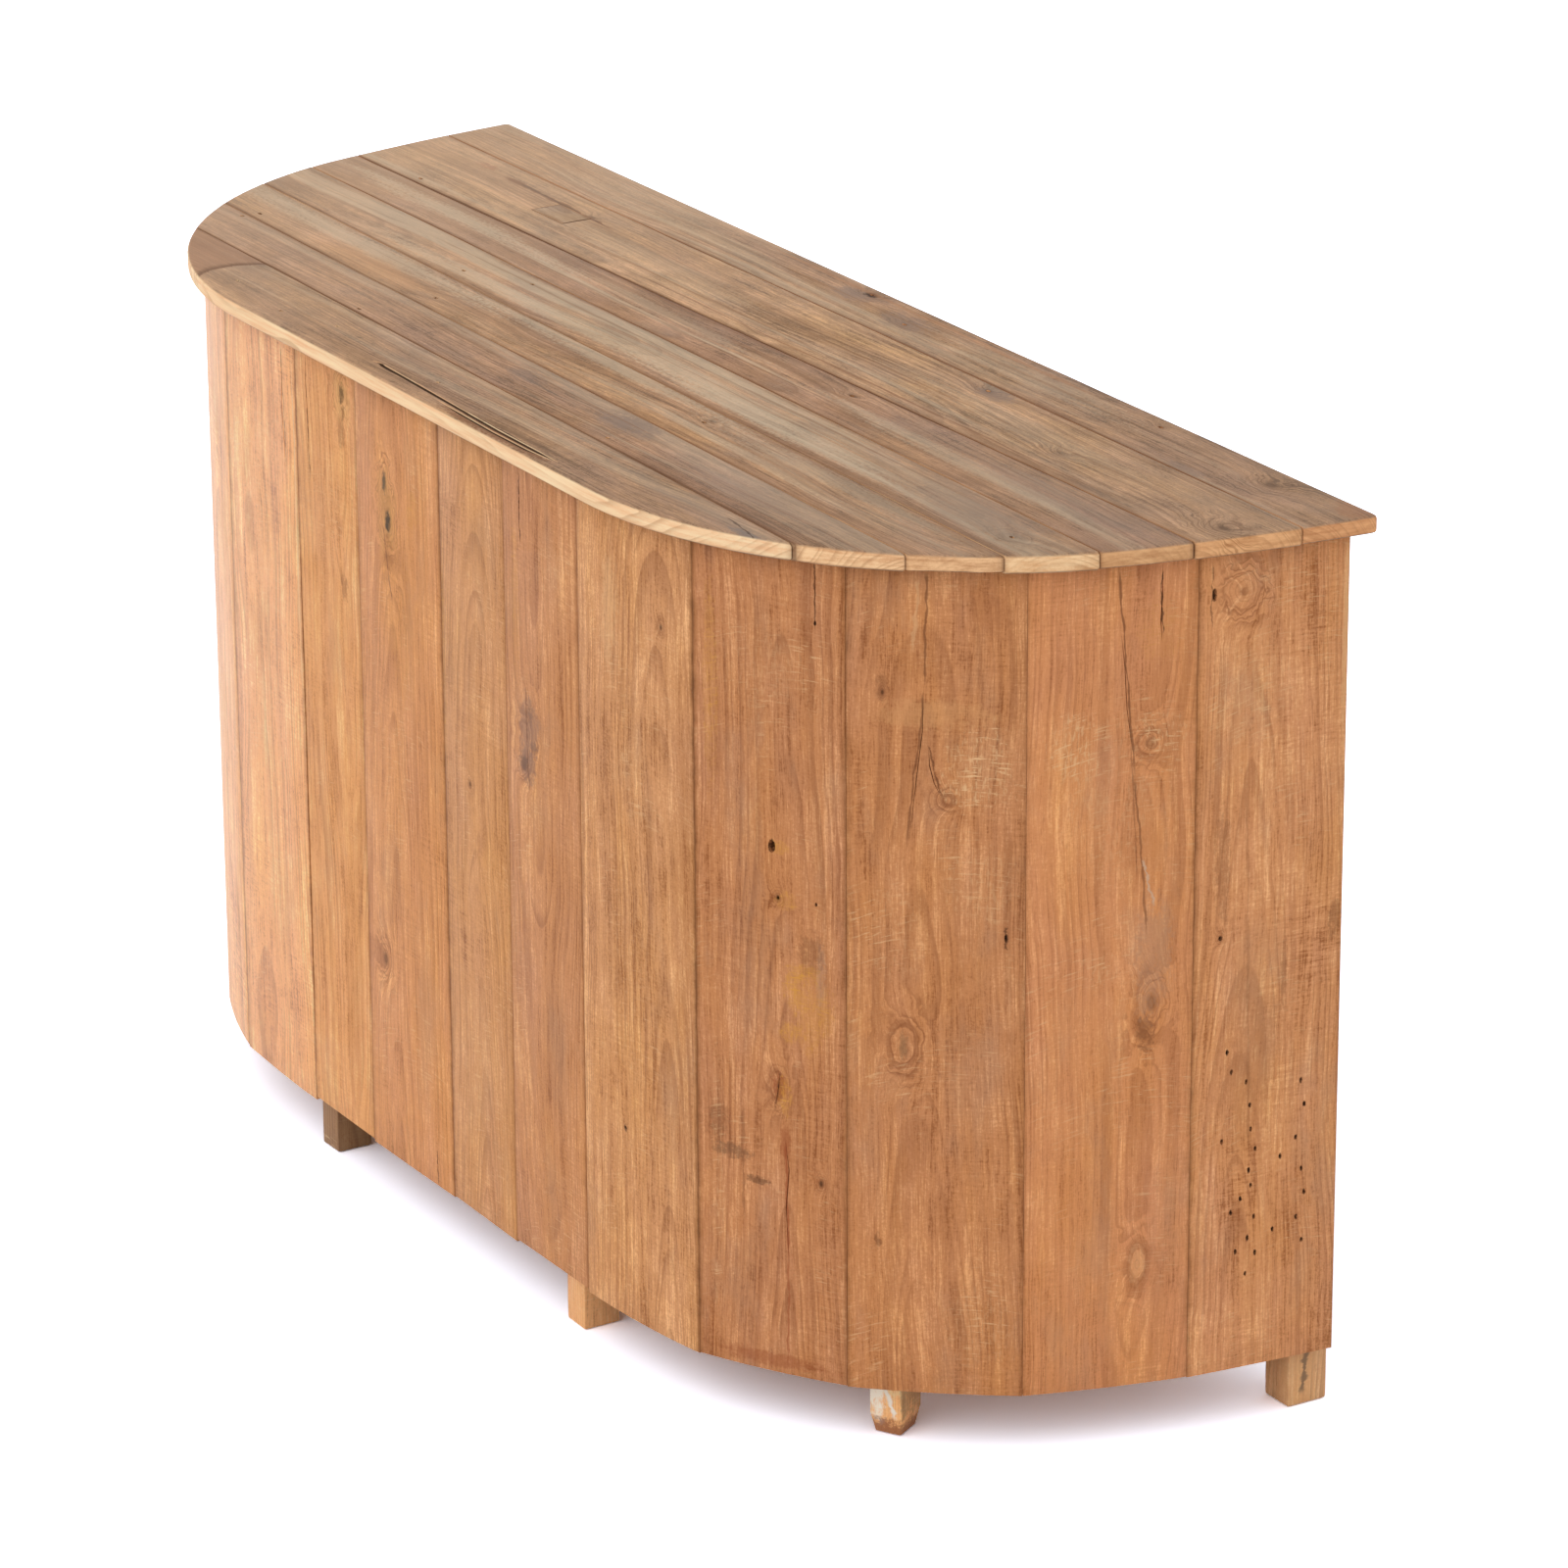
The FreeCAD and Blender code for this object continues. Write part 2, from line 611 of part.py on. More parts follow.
def door(name, side):
    width = (door_outer - door_inner) / DOOR_BOARDS
    height = f"{door_high - door_low}"
    boards = []
    for number in range(DOOR_BOARDS):
        low = door_inner + number * width + (size("board_gap") if number else 0)
        high = door_inner + (number + 1) * width
        board = box(f"{name}_door_board_{number + 1}", (f"{high - low}", "Sheet.door_thickness", height),
                    (low if side > 0 else -high, door_front, door_low))
        if low < knob_x < high:
            hole = doc.addObject("Part::Cylinder", f"{name}_knob_hole")
            hole.setExpression("Radius", "Sheet.knob_tenon_radius + Sheet.knob_tenon_play")
            hole.setExpression("Height", f"Sheet.door_thickness + 2 * {OVERRUN}")
            mouth = Vector(side * knob_x, door_front - OVERRUN, knob_z)
            hole.Placement = Placement(mouth, Rotation(Vector(1, 0, 0), -90))
            board = boolean("Cut", f"{name}_door_bored_board", board, hole)
        boards.append(board)
    named_group(boards, f"{name}_door_boards")
    length = f"{door_outer - door_inner} - 2 * Sheet.ledge_inset"
    ledge = (length, "Sheet.ledge_thickness", "Sheet.ledge_height")
    low_x = door_inner + size("ledge_inset")
    if side < 0:
        low_x = size("ledge_inset") - door_outer
    ledges = [
        box(f"{name}_ledge_{n}", ledge,
            (low_x, door_front - size("ledge_thickness"), level - size("ledge_height") / 2))
        for n, level in enumerate(ledge_levels, 1)
    ]
    named_group(ledges, f"{name}_door_ledges")


def hinge_leaf(name, side, level, fixed):
    """One leaf: a plate on the wood and its knuckles, the outer two if fixed, else the middle one."""
    third = size("hinge_length") / 3
    play = size("knuckle_play")
    away = side if fixed else -side
    low = level - size("hinge_length") / 2
    spans = ((low + third + play, low + 2 * third - play),)
    if fixed:
        spans = ((low, low + third), (low + 2 * third, low + 3 * third))
    pieces = []
    start = pin_x * side + (0 if away > 0 else -size("hinge_plate"))
    for number, (bottom, high) in enumerate(spans, 1):
        barrel = doc.addObject("Part::Cylinder", f"{name}_knuckle_{number}")
        barrel.setExpression("Radius", "Sheet.knuckle_radius")
        barrel.Height = high - bottom
        barrel.Placement = Placement(Vector(pin_x * side, pin_y, bottom), Rotation())
        web = box(f"{name}_web_{number}", ("Sheet.hinge_plate", "Sheet.hinge_metal", f"{high - bottom}"),
                  (start, back_face, bottom))
        pieces += [barrel, web]
    plate_start = start + (size("knuckle_radius") + play if away > 0 else 0)
    wing = box(f"{name}_plate", ("Sheet.hinge_plate - Sheet.knuckle_radius - Sheet.knuckle_play",
                                 "Sheet.hinge_metal", "Sheet.hinge_length"),
               (plate_start, back_face, low))
    fused = doc.addObject("Part::MultiFuse", f"{name}_fused")
    fused.Shapes = pieces + [wing]
    bore = doc.addObject("Part::Cylinder", f"{name}_bore")
    bore.setExpression("Radius", "Sheet.pin_radius + Sheet.pin_play")
    bore.setExpression("Height", f"Sheet.hinge_length + 2 * {OVERRUN}")
    bore.Placement = Placement(Vector(pin_x * side, pin_y, low - OVERRUN), Rotation())
    return boolean("Cut", name, fused, bore)


def hinge_pin(name, side, level):
    """A pin through the knuckles with a low head on the upper one."""
    low = level - size("hinge_length") / 2
    shank = doc.addObject("Part::Cylinder", f"{name}_shank")
    shank.setExpression("Radius", "Sheet.pin_radius")
    shank.setExpression("Height", "Sheet.hinge_length + Sheet.pin_head_height")
    shank.Placement = Placement(Vector(pin_x * side, pin_y, low), Rotation())
    head = doc.addObject("Part::Cylinder", f"{name}_head")
    head.setExpression("Radius", "Sheet.pin_head_radius")
    head.setExpression("Height", "Sheet.pin_head_height")
    head.Placement = Placement(Vector(pin_x * side, pin_y, low + size("hinge_length")), Rotation())
    return boolean("Fuse", name, shank, head)


def hinges():
    frame_leaves, pins = [], []
    for name, side in SIDES:
        moving = []
        for number, level in enumerate(ledge_levels, 1):
            frame_leaves.append(hinge_leaf(f"{name}_frame_leaf_{number}", side, level, True))
            moving.append(hinge_leaf(f"{name}_door_leaf_{number}", side, level, False))
            pins.append(hinge_pin(f"{name}_pin_{number}", side, level))
        named_group(moving, f"{name}_door_hinge_leaves")
    named_group(frame_leaves, "frame_hinge_leaves")
    named_group(pins, "hinge_pins")


def knob(name, side):
    """A turned knob: a tenon through the door, a coved neck, a flared head and a domed face."""
    body = doc.addObject("PartDesign::Body", f"{name}_turned_knob")
    sketch = sketch_on(body, f"{name}_knob_profile", "XZ_Plane")
    tenon, neck, head = size("knob_tenon_radius"), size("knob_neck_radius"), size("knob_radius")
    length, deep = size("knob_length"), size("door_thickness")
    heel, crown = Vector(0, -deep, 0), Vector(0, length, 0)
    bottom, step = Vector(tenon, -deep, 0), Vector(tenon, 0, 0)
    foot, waist = Vector(size("knob_foot_radius"), 0, 0), Vector(neck, size("knob_neck_height"), 0)
    girth = Vector(head, size("knob_girth_height"), 0)
    for first, last in ((crown, heel), (heel, bottom), (bottom, step), (step, foot), (waist, girth)):
        sketch.addGeometry(Part.LineSegment(first, last))
    dome_height = length - size("knob_girth_height")
    dome = (head ** 2 + dome_height ** 2) / (2 * dome_height)
    half_dome = math.asin(head / dome) / 2
    shoulder = Vector(dome * math.sin(half_dome), length - dome + dome * math.cos(half_dome), 0)
    cove = Vector((foot.x + 3 * waist.x) / 4, waist.y / 4, 0)
    for first, middle, last in ((foot, cove, waist), (girth, shoulder, crown)):
        sketch.addGeometry(Part.Arc(first, middle, last))
    turned = body.newObject("PartDesign::Revolution", f"{name}_knob_turning")
    turned.Profile = sketch
    turned.ReferenceAxis = (sketch, ["V_Axis"])
    turned.Angle = 360
    body.Placement = Placement(Vector(side * knob_x, back_face, knob_z), Rotation(Vector(1, 0, 0), -90))
    named(body, f"{name}_knob")


top_planks()
for stave_number in range(1, len(STAVE_WIDTHS) + 1):
    stave(stave_number)
posts()
sockets = post_sockets()
upper_frame(sockets)
deck(sockets)
partitions_and_shelves(sockets)
for door_name, door_side in SIDES:
    door(door_name, door_side)
    knob(door_name, door_side)
hinges()
doc.recompute()

for thing in doc.Objects:
    if "Invalid" in thing.State or "Error" in thing.State:
        raise RuntimeError(f"{thing.Label} did not build: {thing.State}")
for part, solids in parts:
    if part.Shape.isNull() or not part.Shape.isValid() or len(part.Shape.Solids) != solids:
        raise RuntimeError(f"{part.Label} is not {solids} valid solids")
os.makedirs("parts", exist_ok=True)
for part, solids in parts:
    part.Shape.exportStep(f"parts/{part.Label}.step")
print(len(parts), "nodes,", sum(solids for part, solids in parts), "solids")
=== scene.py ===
import math

import bpy
from mathutils import Matrix, Vector


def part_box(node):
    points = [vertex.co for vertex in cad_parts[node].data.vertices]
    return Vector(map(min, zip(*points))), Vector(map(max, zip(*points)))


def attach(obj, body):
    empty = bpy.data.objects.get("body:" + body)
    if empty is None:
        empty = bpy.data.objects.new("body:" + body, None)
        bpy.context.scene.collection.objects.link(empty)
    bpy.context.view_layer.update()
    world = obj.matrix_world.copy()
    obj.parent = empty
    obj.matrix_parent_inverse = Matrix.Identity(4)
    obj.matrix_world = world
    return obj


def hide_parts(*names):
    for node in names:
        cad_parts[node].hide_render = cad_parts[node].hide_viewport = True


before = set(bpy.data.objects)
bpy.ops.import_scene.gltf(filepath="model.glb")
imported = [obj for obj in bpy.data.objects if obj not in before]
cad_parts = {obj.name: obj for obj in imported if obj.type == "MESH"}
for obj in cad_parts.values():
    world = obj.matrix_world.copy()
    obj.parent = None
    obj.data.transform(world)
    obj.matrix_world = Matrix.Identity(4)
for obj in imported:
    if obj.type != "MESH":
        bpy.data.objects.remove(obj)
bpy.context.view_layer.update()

# Posts: eight square timbers from old joinery, reused as they came, with softened arrises and a
# rubbed lower end. The staves and rails are nailed to them, and the doors hang on two of them.
UP, ALONG, ACROSS = Vector((0, 0, 1)), Vector((1, 0, 0)), Vector((0, 1, 0))
SMOOTH_ANGLE = math.radians(38)


def worn(node, body, ease, grain, pitch, dents=0.0006, lump=0.07, swell=0.0, saw=None):
    """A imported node's own shape as a used board: eased arrises, rows across its grain, shallow dents.

    A saw cut, given by a place and a direction, takes off what lies beyond it first. Damp makes the
    board swell by a little on all sides.
    """
    piece = bpy.data.objects.new(f"worn_{node}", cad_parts[node].data.copy())
    bpy.context.collection.objects.link(piece)
    bpy.ops.object.select_all(action="DESELECT")
    piece.select_set(True)
    bpy.context.view_layer.objects.active = piece
    bpy.ops.object.mode_set(mode="EDIT")
    bpy.ops.mesh.select_all(action="SELECT")
    bpy.ops.mesh.customdata_custom_splitnormals_clear()
    bpy.ops.mesh.remove_doubles(threshold=1e-5)
    bpy.ops.mesh.dissolve_limited(angle_limit=math.radians(0.4))
    if saw:
        bpy.ops.mesh.select_all(action="SELECT")
        bpy.ops.mesh.bisect(plane_co=saw[0], plane_no=saw[1], use_fill=True, clear_outer=True)
    bpy.ops.object.mode_set(mode="OBJECT")
    arris = piece.modifiers.new("arris", "BEVEL")
    arris.width, arris.segments, arris.angle_limit = ease, 2, math.radians(30)
    bpy.ops.object.modifier_apply(modifier=arris.name)
    bpy.ops.object.mode_set(mode="EDIT")
    low, high = (corner.dot(grain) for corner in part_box(node))
    for row in range(1, int((high - low) / pitch)):
        bpy.ops.mesh.select_all(action="SELECT")
        bpy.ops.mesh.bisect(plane_co=grain * (low + row * pitch), plane_no=grain)
    bpy.ops.object.mode_set(mode="OBJECT")
    if dents:
        cloud = bpy.data.textures.new(f"dents_{node}", "CLOUDS")
        cloud.noise_scale = lump
        sink = piece.modifiers.new("dents", "DISPLACE")
        sink.texture, sink.strength, sink.mid_level = cloud, dents, 1.0 - swell / dents
        bpy.ops.object.modifier_apply(modifier=sink.name)
    bpy.ops.object.shade_smooth_by_angle(angle=SMOOTH_ANGLE)
    piece.data.materials.clear()
    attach(piece, body)
    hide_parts(node)
    return piece


def tone(red, green, blue):
    """A colour by its everyday 0 to 255 values."""
    def linear(value):
        share = value / 255
        return share / 12.92 if share <= 0.04045 else ((share + 0.055) / 1.055) ** 2.4
    return linear(red), linear(green), linear(blue), 1.0


class Value:
    """A number, place or colour that changes over the surface; sums with it become Math nodes."""

    def __init__(self, socket):
        self.socket, self.tree = socket, socket.id_data

    def __add__(self, other):
        return maths("ADD", self, other)

    def __radd__(self, other):
        return maths("ADD", other, self)

    def __sub__(self, other):
        return maths("SUBTRACT", self, other)

    def __mul__(self, other):
        return maths("MULTIPLY", self, other)

    def __truediv__(self, other):
        return maths("DIVIDE", self, other)

    def __abs__(self):
        return maths("ABSOLUTE", self)

    def into(self, socket):
        self.tree.links.new(self.socket, socket)


def wire(tree, kind, *inputs, out=0, **settings):
    """Add a shader node, give each of its sockets a value or a link, and return one output."""
    added = tree.nodes.new(f"ShaderNode{kind}")
    for setting, value in settings.items():
        setattr(added, setting, value)
    for socket, value in zip(added.inputs, inputs):
        if isinstance(value, Value):
            value.into(socket)
        elif value is not None:
            socket.default_value = value
    return Value(added.outputs[out])


def tree_of(*values):
    return next(value.tree for value in values if isinstance(value, Value))


def maths(operation, *values):
    return wire(tree_of(*values), "Math", *values, operation=operation)


def weighed(start, *terms):
    """A start value plus each term's distance from a half times its weight."""
    total = start
    for value, weight in terms:
        total = total + (value - 0.5) * weight
    return total


def soft_step(value, low, high, start=0.0, stop=1.0):
    return wire(value.tree, "MapRange", value, low, high, start, stop, interpolation_type="SMOOTHSTEP")


def split(place):
    """The x, y and z of a place."""
    first = wire(place.tree, "SeparateXYZ", place)
    return [Value(part) for part in first.socket.node.outputs]


def place_of(x, y, z):
    return wire(tree_of(x, y, z), "CombineXYZ", x, y, z)


def mottle(place, pace, detail=2.0, roughness=0.5):
    """A cloudy pattern; the pace says how often it changes in a metre along each axis."""
    drawn = wire(place.tree, "VectorMath", place, pace, operation="MULTIPLY")
    return wire(place.tree, "TexNoise", drawn, None, 1.0, detail, roughness)


def blend(share, below, above, mode="MIX"):
    """One colour over another, which are the seventh and eighth of the mixing node's sockets."""
    skipped = [None] * 5
    return wire(tree_of(share, below, above), "Mix", share, *skipped, below, above, out=2, data_type="RGBA",
                blend_type=mode, clamp_factor=True)


def new_group(name, *inputs):
    """A shader node group with its inputs by name; a board and its heart are places, the rest numbers."""
    tree = bpy.data.node_groups.new(name, "ShaderNodeTree")
    for label in inputs:
        kind = "NodeSocketVector" if label in ("Board", "Heart") else "NodeSocketFloat"
        tree.interface.new_socket(label, in_out="INPUT", socket_type=kind)
    entry = tree.nodes.new("NodeGroupInput")
    return tree, *(Value(entry.outputs[label]) for label in inputs)


def put_out(tree, **outputs):
    """Give a node group its outputs by name; returns the finished group."""
    for label in outputs:
        tree.interface.new_socket(label, in_out="OUTPUT", socket_type="NodeSocketFloat")
    leave = tree.nodes.new("NodeGroupOutput")
    for label, value in outputs.items():
        value.into(leave.inputs[label])
    return tree


def use_group(tree, group, **inputs):
    """Place a node group in a tree; returns its outputs by name."""
    placed = tree.nodes.new("ShaderNodeGroup")
    placed.node_tree = group
    for label, value in inputs.items():
        if isinstance(value, Value):
            value.into(placed.inputs[label])
        else:
            placed.inputs[label].default_value = value
    return {socket.name: Value(socket) for socket in placed.outputs}


def seeded(board, seed):
    """The board's coordinates moved to a part of the pattern that no other board uses."""
    shift = place_of(*(seed * step for step in (1.37, 2.11, 3.73)))
    return wire(board.tree, "VectorMath", board, shift, operation="ADD")


def teak_figure():
    """Growth rings cut by the saw, drawn out in long streaks, with fibres, pores and plane chatter."""
    tree, board, seed, heart, lift, force = new_group(
        "teak_figure", "Board", "Seed", "Heart", "Lift", "Chatter")
    rings_per_metre = 150
    place = seeded(board, seed)
    x, y, z = split(board)
    heart_x, heart_depth, lean = split(heart)
    slow = mottle(place, (5, 5, 1.3), 1)
    middle = mottle(place, (18, 18, 6), 2)
    across = weighed(x, (slow, 0.06), (middle, 0.01))
    sway = mottle(place, (1.5, 1.5, 2.1), 2)
    depth = weighed(heart_depth + y + lean * (z - 0.55), (sway, 0.05))
    run = across - heart_x
    radius = maths("SQRT", run * run + depth * depth) + lift
    uneven = wire(tree, "TexNoise", None, radius * 70 + seed, 1.0, 2.0, 0.5, noise_dimensions="1D")
    year = maths("FRACT", weighed(radius * rings_per_metre, (uneven, 2.6)))
    late = soft_step(year, 0.35, 0.9) * soft_step(year, 0.9, 1.0, 1.0, 0.0)
    patchy = maths("MAXIMUM", soft_step(middle, 0.35, 0.6, 0.25, 1.0),
                   soft_step(lift, 0.002, 0.012, 0.0, 1.5))
    warped = seeded(place_of(across + lift, y, z), seed)
    fine = mottle(warped, (620, 620, 42), 3, 0.65)
    coarse = mottle(warped, (240, 240, 5), 3, 0.65)
    streak = mottle(warped, (60, 60, 2), 3, 0.6)
    cloud = mottle(place, (13, 13, 8), 5, 0.66)
    speckle = mottle(place, (300, 300, 360), 3, 0.7)
    ripple = mottle(place, (34, 34, 330), 2, 0.6)
    gusts = soft_step(mottle(place, (8, 8, 7), 2), 0.46, 0.68, 0.12, 1.0)
    chatter = weighed(0.5, (ripple, gusts * force))
    return put_out(
        tree,
        Tone=weighed(0.5, (streak, 0.45), (cloud, 0.62), (coarse, 0.6), (fine, 0.62), (speckle, 0.46),
                     (chatter, 0.7)),
        Lines=late * patchy,
        Pores=soft_step(mottle(warped, (560, 560, 60), 1), 0.6, 0.74),
        Fibre=weighed(0.5, (fine, 0.6), (coarse, 0.4), (chatter, 0.5)),
        Hue=weighed(0.5, (mottle(warped, (15, 15, 4), 4, 0.65), 1.7)),
        Streak=mottle(warped, (30, 30, 0.45), 4, 0.62),
    )


def teak_knot():
    """A branch cut across: the rings bend round it, and its core is dark and irregular."""
    tree, board, across, height, size, long = new_group(
        "teak_knot", "Board", "Across", "Height", "Size", "Long")
    x, _, z = split(board)
    aside, above = x - across, (z - height) / long
    ragged = weighed(1.0, (mottle(board, (55, 55, 40), 2), 0.9))
    reach = maths("SQRT", aside * aside + above * above) / size * ragged

    def bell(width):
        share = reach / width
        return maths("EXPONENT", share * share * -1.0)

    year = maths("PINGPONG", reach * 1.7, 0.5)
    return put_out(
        tree,
        Lift=size * 2.2 * bell(2.2),
        Core=soft_step(reach, 0.2, 0.95, 1.0, 0.0),
        Halo=bell(1.6),
        Rings=soft_step(year, 0.3, 0.5) * soft_step(reach, 1.4, 3.2, 1.0, 0.0),
    )


def old_face():
    """What years of use left on a face: saw marks, pale scuffs, grey weather, filler along the edges, and
    painted shade where a joint stands open.
    """
    tree, board, seed, half, left, right = new_group("old_face", "Board", "Seed", "Half", "Left", "Right")
    place = seeded(board, seed)
    x, _, z = split(board)
    zone = soft_step(mottle(place, (11, 11, 8), 4, 0.6), 0.48, 0.66)
    saw = place_of(x, seed, x * x * 1.6 + (x * 0.12 + z))
    marks = soft_step(mottle(saw, (36, 1, 320), 3, 0.62), 0.55, 0.66)
    dashes = soft_step(mottle(place, (330, 330, 90), 2), 0.52, 0.68)
    on_left = maths("GREATER_THAN", x, 0.0)
    edge = place_of(seed, on_left, z)
    near = weighed(half - abs(x), (mottle(edge, (1, 9, 170), 3, 0.7), 0.0035))
    wander = mottle(edge, (1, 5, 16), 3, 0.7)
    strength = on_left * (left - right) + right
    width = soft_step(wander, 0.3, 0.75, 0.004, 0.014)
    # How open the joint is sets a thin dark band of painted shade along the edge.
    open_joint = soft_step(wander, 0.42, 0.62, 0.3, 1.0) * strength
    reach = soft_step(wander, 0.35, 0.7, 0.0016, 0.005)
    return put_out(
        tree,
        Scuff=zone * marks,
        Flecks=maths("MAXIMUM", marks, dashes * 0.6),
        Grey=soft_step(mottle(place, (13, 13, 5), 4, 0.62), 0.5, 0.72),
        Seam=soft_step(near, 0.0, width, 1.0, 0.0) * strength,
        Arris=soft_step(near, 0.0002, reach, 1.0, 0.0) * open_joint,
    )


def stain():
    """A soft ragged mark of a given place and size on a board's face."""
    tree, board, across, height, wide, high = new_group("stain", "Board", "Across", "Height", "Wide", "High")
    x, _, z = split(board)
    aside, above = (x - across) / wide, (z - height) / high
    ragged = mottle(place_of(aside, height, above), (1.1, 37, 1.7), 5, 0.68)
    flecked = mottle(board, (260, 260, 150), 3, 0.65)
    reach = weighed(aside * aside + above * above, (ragged, 2.4), (flecked, 2.2))
    return put_out(tree, Mark=soft_step(reach, 0.05, 1.0, 1.0, 0.0))


def grain_line():
    """A dark or pale line that follows the grain from one place to another, with a slight waver."""
    tree, board, across, height, end_across, end_height, width = new_group(
        "grain_line", "Board", "Across", "Height", "EndAcross", "EndHeight", "Width")
    x, _, z = split(board)
    share = (z - height) / (end_height - height)
    waver = mottle(place_of(across, 0.0, share), (99, 1, 5), 3, 0.5)
    middle = weighed(share * (end_across - across) + across, (waver, width * 1.5 + 0.006))
    thin = mottle(place_of(end_across, 3.0, share), (99, 1, 9), 3, 0.6)
    side = abs(x - middle) / (width * soft_step(thin, 0.3, 0.7, 0.3, 1.4))
    ends = soft_step(share, 0.0, 0.08) * soft_step(share, 0.85, 1.0, 1.0, 0.0)
    return put_out(tree, Mark=ends * soft_step(side, 0.25, 1.0, 1.0, 0.0))


FIGURE, KNOT, FACE, STAIN, LINE = teak_figure(), teak_knot(), old_face(), stain(), grain_line()
PALE, AMBER, ASH = tone(230, 186, 138), tone(206, 146, 70), tone(166, 134, 112)
# The near-black colour marks dark spots in the wood; where it is drawn along cracks, in holes and in grooves
# it is painted shade.
DARK, RUST, SOOT_AND_PAINTED_SHADE = tone(108, 66, 42), tone(150, 80, 48), tone(58, 38, 28)
# The open-joint colour is painted shade in the gap where two boards part.
KNOT_HEART, FILLER, OPEN_JOINT_SHADE = tone(72, 46, 30), tone(142, 90, 50), tone(92, 56, 34)
ROSE_TINT, AMBER_TINT = (0.46, 0.49, 0.56, 1), (0.52, 0.51, 0.41, 1)
DRY, WAXED = 1.15, 1.5


class Teak:
    """The finish of one board, or of a row of boards, built up in layers from bare wood to wax.

    The directions say how the board lies. Its marks are given across it from the centre, and along the
    grain. The heart is how far aside and how deep the tree's middle lay, and how much it leant.
    """

    def __init__(self, name, across, out, grain, centre, seed, heart, half=1.0, knots=(), edges=(1.0, 1.0),
                 chatter=0.4, boards=None):
        self.material = bpy.data.materials.new(name)
        self.material.use_nodes = True
        self.tree = tree = self.material.node_tree
        turn = Matrix((across, out, grain))
        place = wire(tree, "TexCoord", out="Object")
        self.board = wire(tree, "Mapping", place, -(turn @ Vector(centre)), turn.to_euler())
        if boards:
            start, width = boards
            x, y, z = split(self.board)
            which = (x - start) / width
            self.board = place_of((maths("FRACT", which) - 0.5) * width, y, z)
            seed = maths("FLOOR", which) * 3.7 + seed
            heart = place_of(maths("SINE", seed) * 0.12 + heart[0], *heart[1:])
        self.knots = []
        lift = 0.0
        for x, z, size, long, core in knots:
            knot = use_group(tree, KNOT, Board=self.board, Across=x, Height=z, Size=size, Long=long)
            self.knots.append((knot, core))
            lift = knot["Lift"] + lift
        self.figure = use_group(tree, FIGURE, Board=self.board, Seed=seed, Heart=heart, Lift=lift,
                                Chatter=chatter)
        left, right = edges
        self.face = use_group(tree, FACE, Board=self.board, Seed=seed, Half=half, Left=left, Right=right)
        self.colour = None

    def wood(self, *colours, contrast=1.0, rings=0.42):
        """Bare wood in its dark, middle, light and line colours, with rose and amber patches."""
        dark, middle, light, line = (tone(*colour) for colour in colours)
        shade = weighed(0.5, (self.figure["Tone"], contrast))
        low = blend(soft_step(shade, 0.1, 0.5), dark, middle)
        self.colour = blend(soft_step(shade, 0.5, 0.9), low, light)
        self.layer(1.0, blend(self.figure["Hue"], ROSE_TINT, AMBER_TINT), 0.95, "OVERLAY")
        self.layer(self.figure["Lines"], line, rings)
        self.layer(self.figure["Pores"], line, 0.22)
        for knot, core in self.knots:
            self.layer(knot["Halo"], line, 0.4 * core)
            self.layer(knot["Rings"], line, 0.22 + 0.25 * core)
            self.layer(knot["Core"], KNOT_HEART, core)

    def layer(self, share, colour, amount=1.0, mode="MIX"):
        self.colour = blend(share * amount, self.colour, colour, mode)

    def bands(self, pale, deep, amount):
        """Long pale and deep bands that follow the grain of a weathered plank."""
        self.layer(soft_step(self.figure["Streak"], 0.5, 0.64), pale, amount)
        self.layer(soft_step(self.figure["Streak"], 0.34, 0.47, 1.0, 0.0), deep, amount)

    def rim(self, pale, deep, line):
        """Sawn and sanded edges, cleaner and paler than the face, with the grain cut across."""
        up = split(wire(self.tree, "NewGeometry", out="Normal"))[2]
        edge = soft_step(abs(up), 0.4, 0.85, 1.0, 0.0)
        grain = mottle(self.board, (30, 190, 9), 3, 0.6)
        blotch = weighed(0.5, (grain, 1.2), (self.figure["Tone"], 0.5))
        self.layer(edge, blend(soft_step(blotch, 0.2, 0.85), pale, deep), 0.9)
        self.layer(edge * self.figure["Lines"], line, 0.35)

    def shade_in_cuts(self, depth, low, high, start, stop):
        """Painted shade in the splits and holes of one stretch of a board, where the surface lies deeper
        than its dents.
        """
        x, y, z = split(self.board)
        share = soft_step(y, -2 * depth, -depth, 1.0, 0.0)
        for value, near, far in ((x, low, high), (z, start, stop)):
            share = share * maths("GREATER_THAN", value, near) * maths("LESS_THAN", value, far)
        self.layer(share, SOOT_AND_PAINTED_SHADE, 0.95)

    def dark_end(self, across, along, curve, colour, edge):
        """The end of a plank beyond a curved old edge, darker than the rest and darkest along that edge."""
        x, _, z = split(self.board)
        aside = x - across
        past = weighed(aside * aside * curve + along - z, (self.figure["Tone"], 0.012))
        self.layer(soft_step(past, -0.002, 0.004), colour, 0.6)
        self.layer(soft_step(past, 0.0, 0.004) * soft_step(past, 0.006, 0.022, 1.0, 0.0), edge, 0.6)

    def tone_along_length(self, start, stop, colour, amount):
        """One end of a board paler or greyer than the other, by its length."""
        along = split(self.board)[2]
        self.layer(soft_step(along, start, stop), colour, amount)

    def use(self, scuff, grey, seam=0.0, pale=PALE, ash=ASH):
        """Wear and weather over the bare wood, with old filler along the joints where boards meet and
        painted shade in them where they stand open.
        """
        self.layer(self.face["Grey"], ash, grey)
        self.layer(self.face["Scuff"], pale, scuff)
        if seam:
            self.layer(self.face["Seam"], FILLER, seam)
            self.layer(self.face["Arris"], OPEN_JOINT_SHADE, 0.95 * seam)

    def mark(self, x, z, wide, high):
        placed = use_group(self.tree, STAIN, Board=self.board, Across=x, Height=z, Wide=wide, High=high)
        return placed["Mark"]

    def stains(self, *marks):
        """Stains at known places: across, height, half width, half height, colour, strength."""
        for *place, colour, amount in marks:
            self.layer(self.mark(*place), colour, amount)

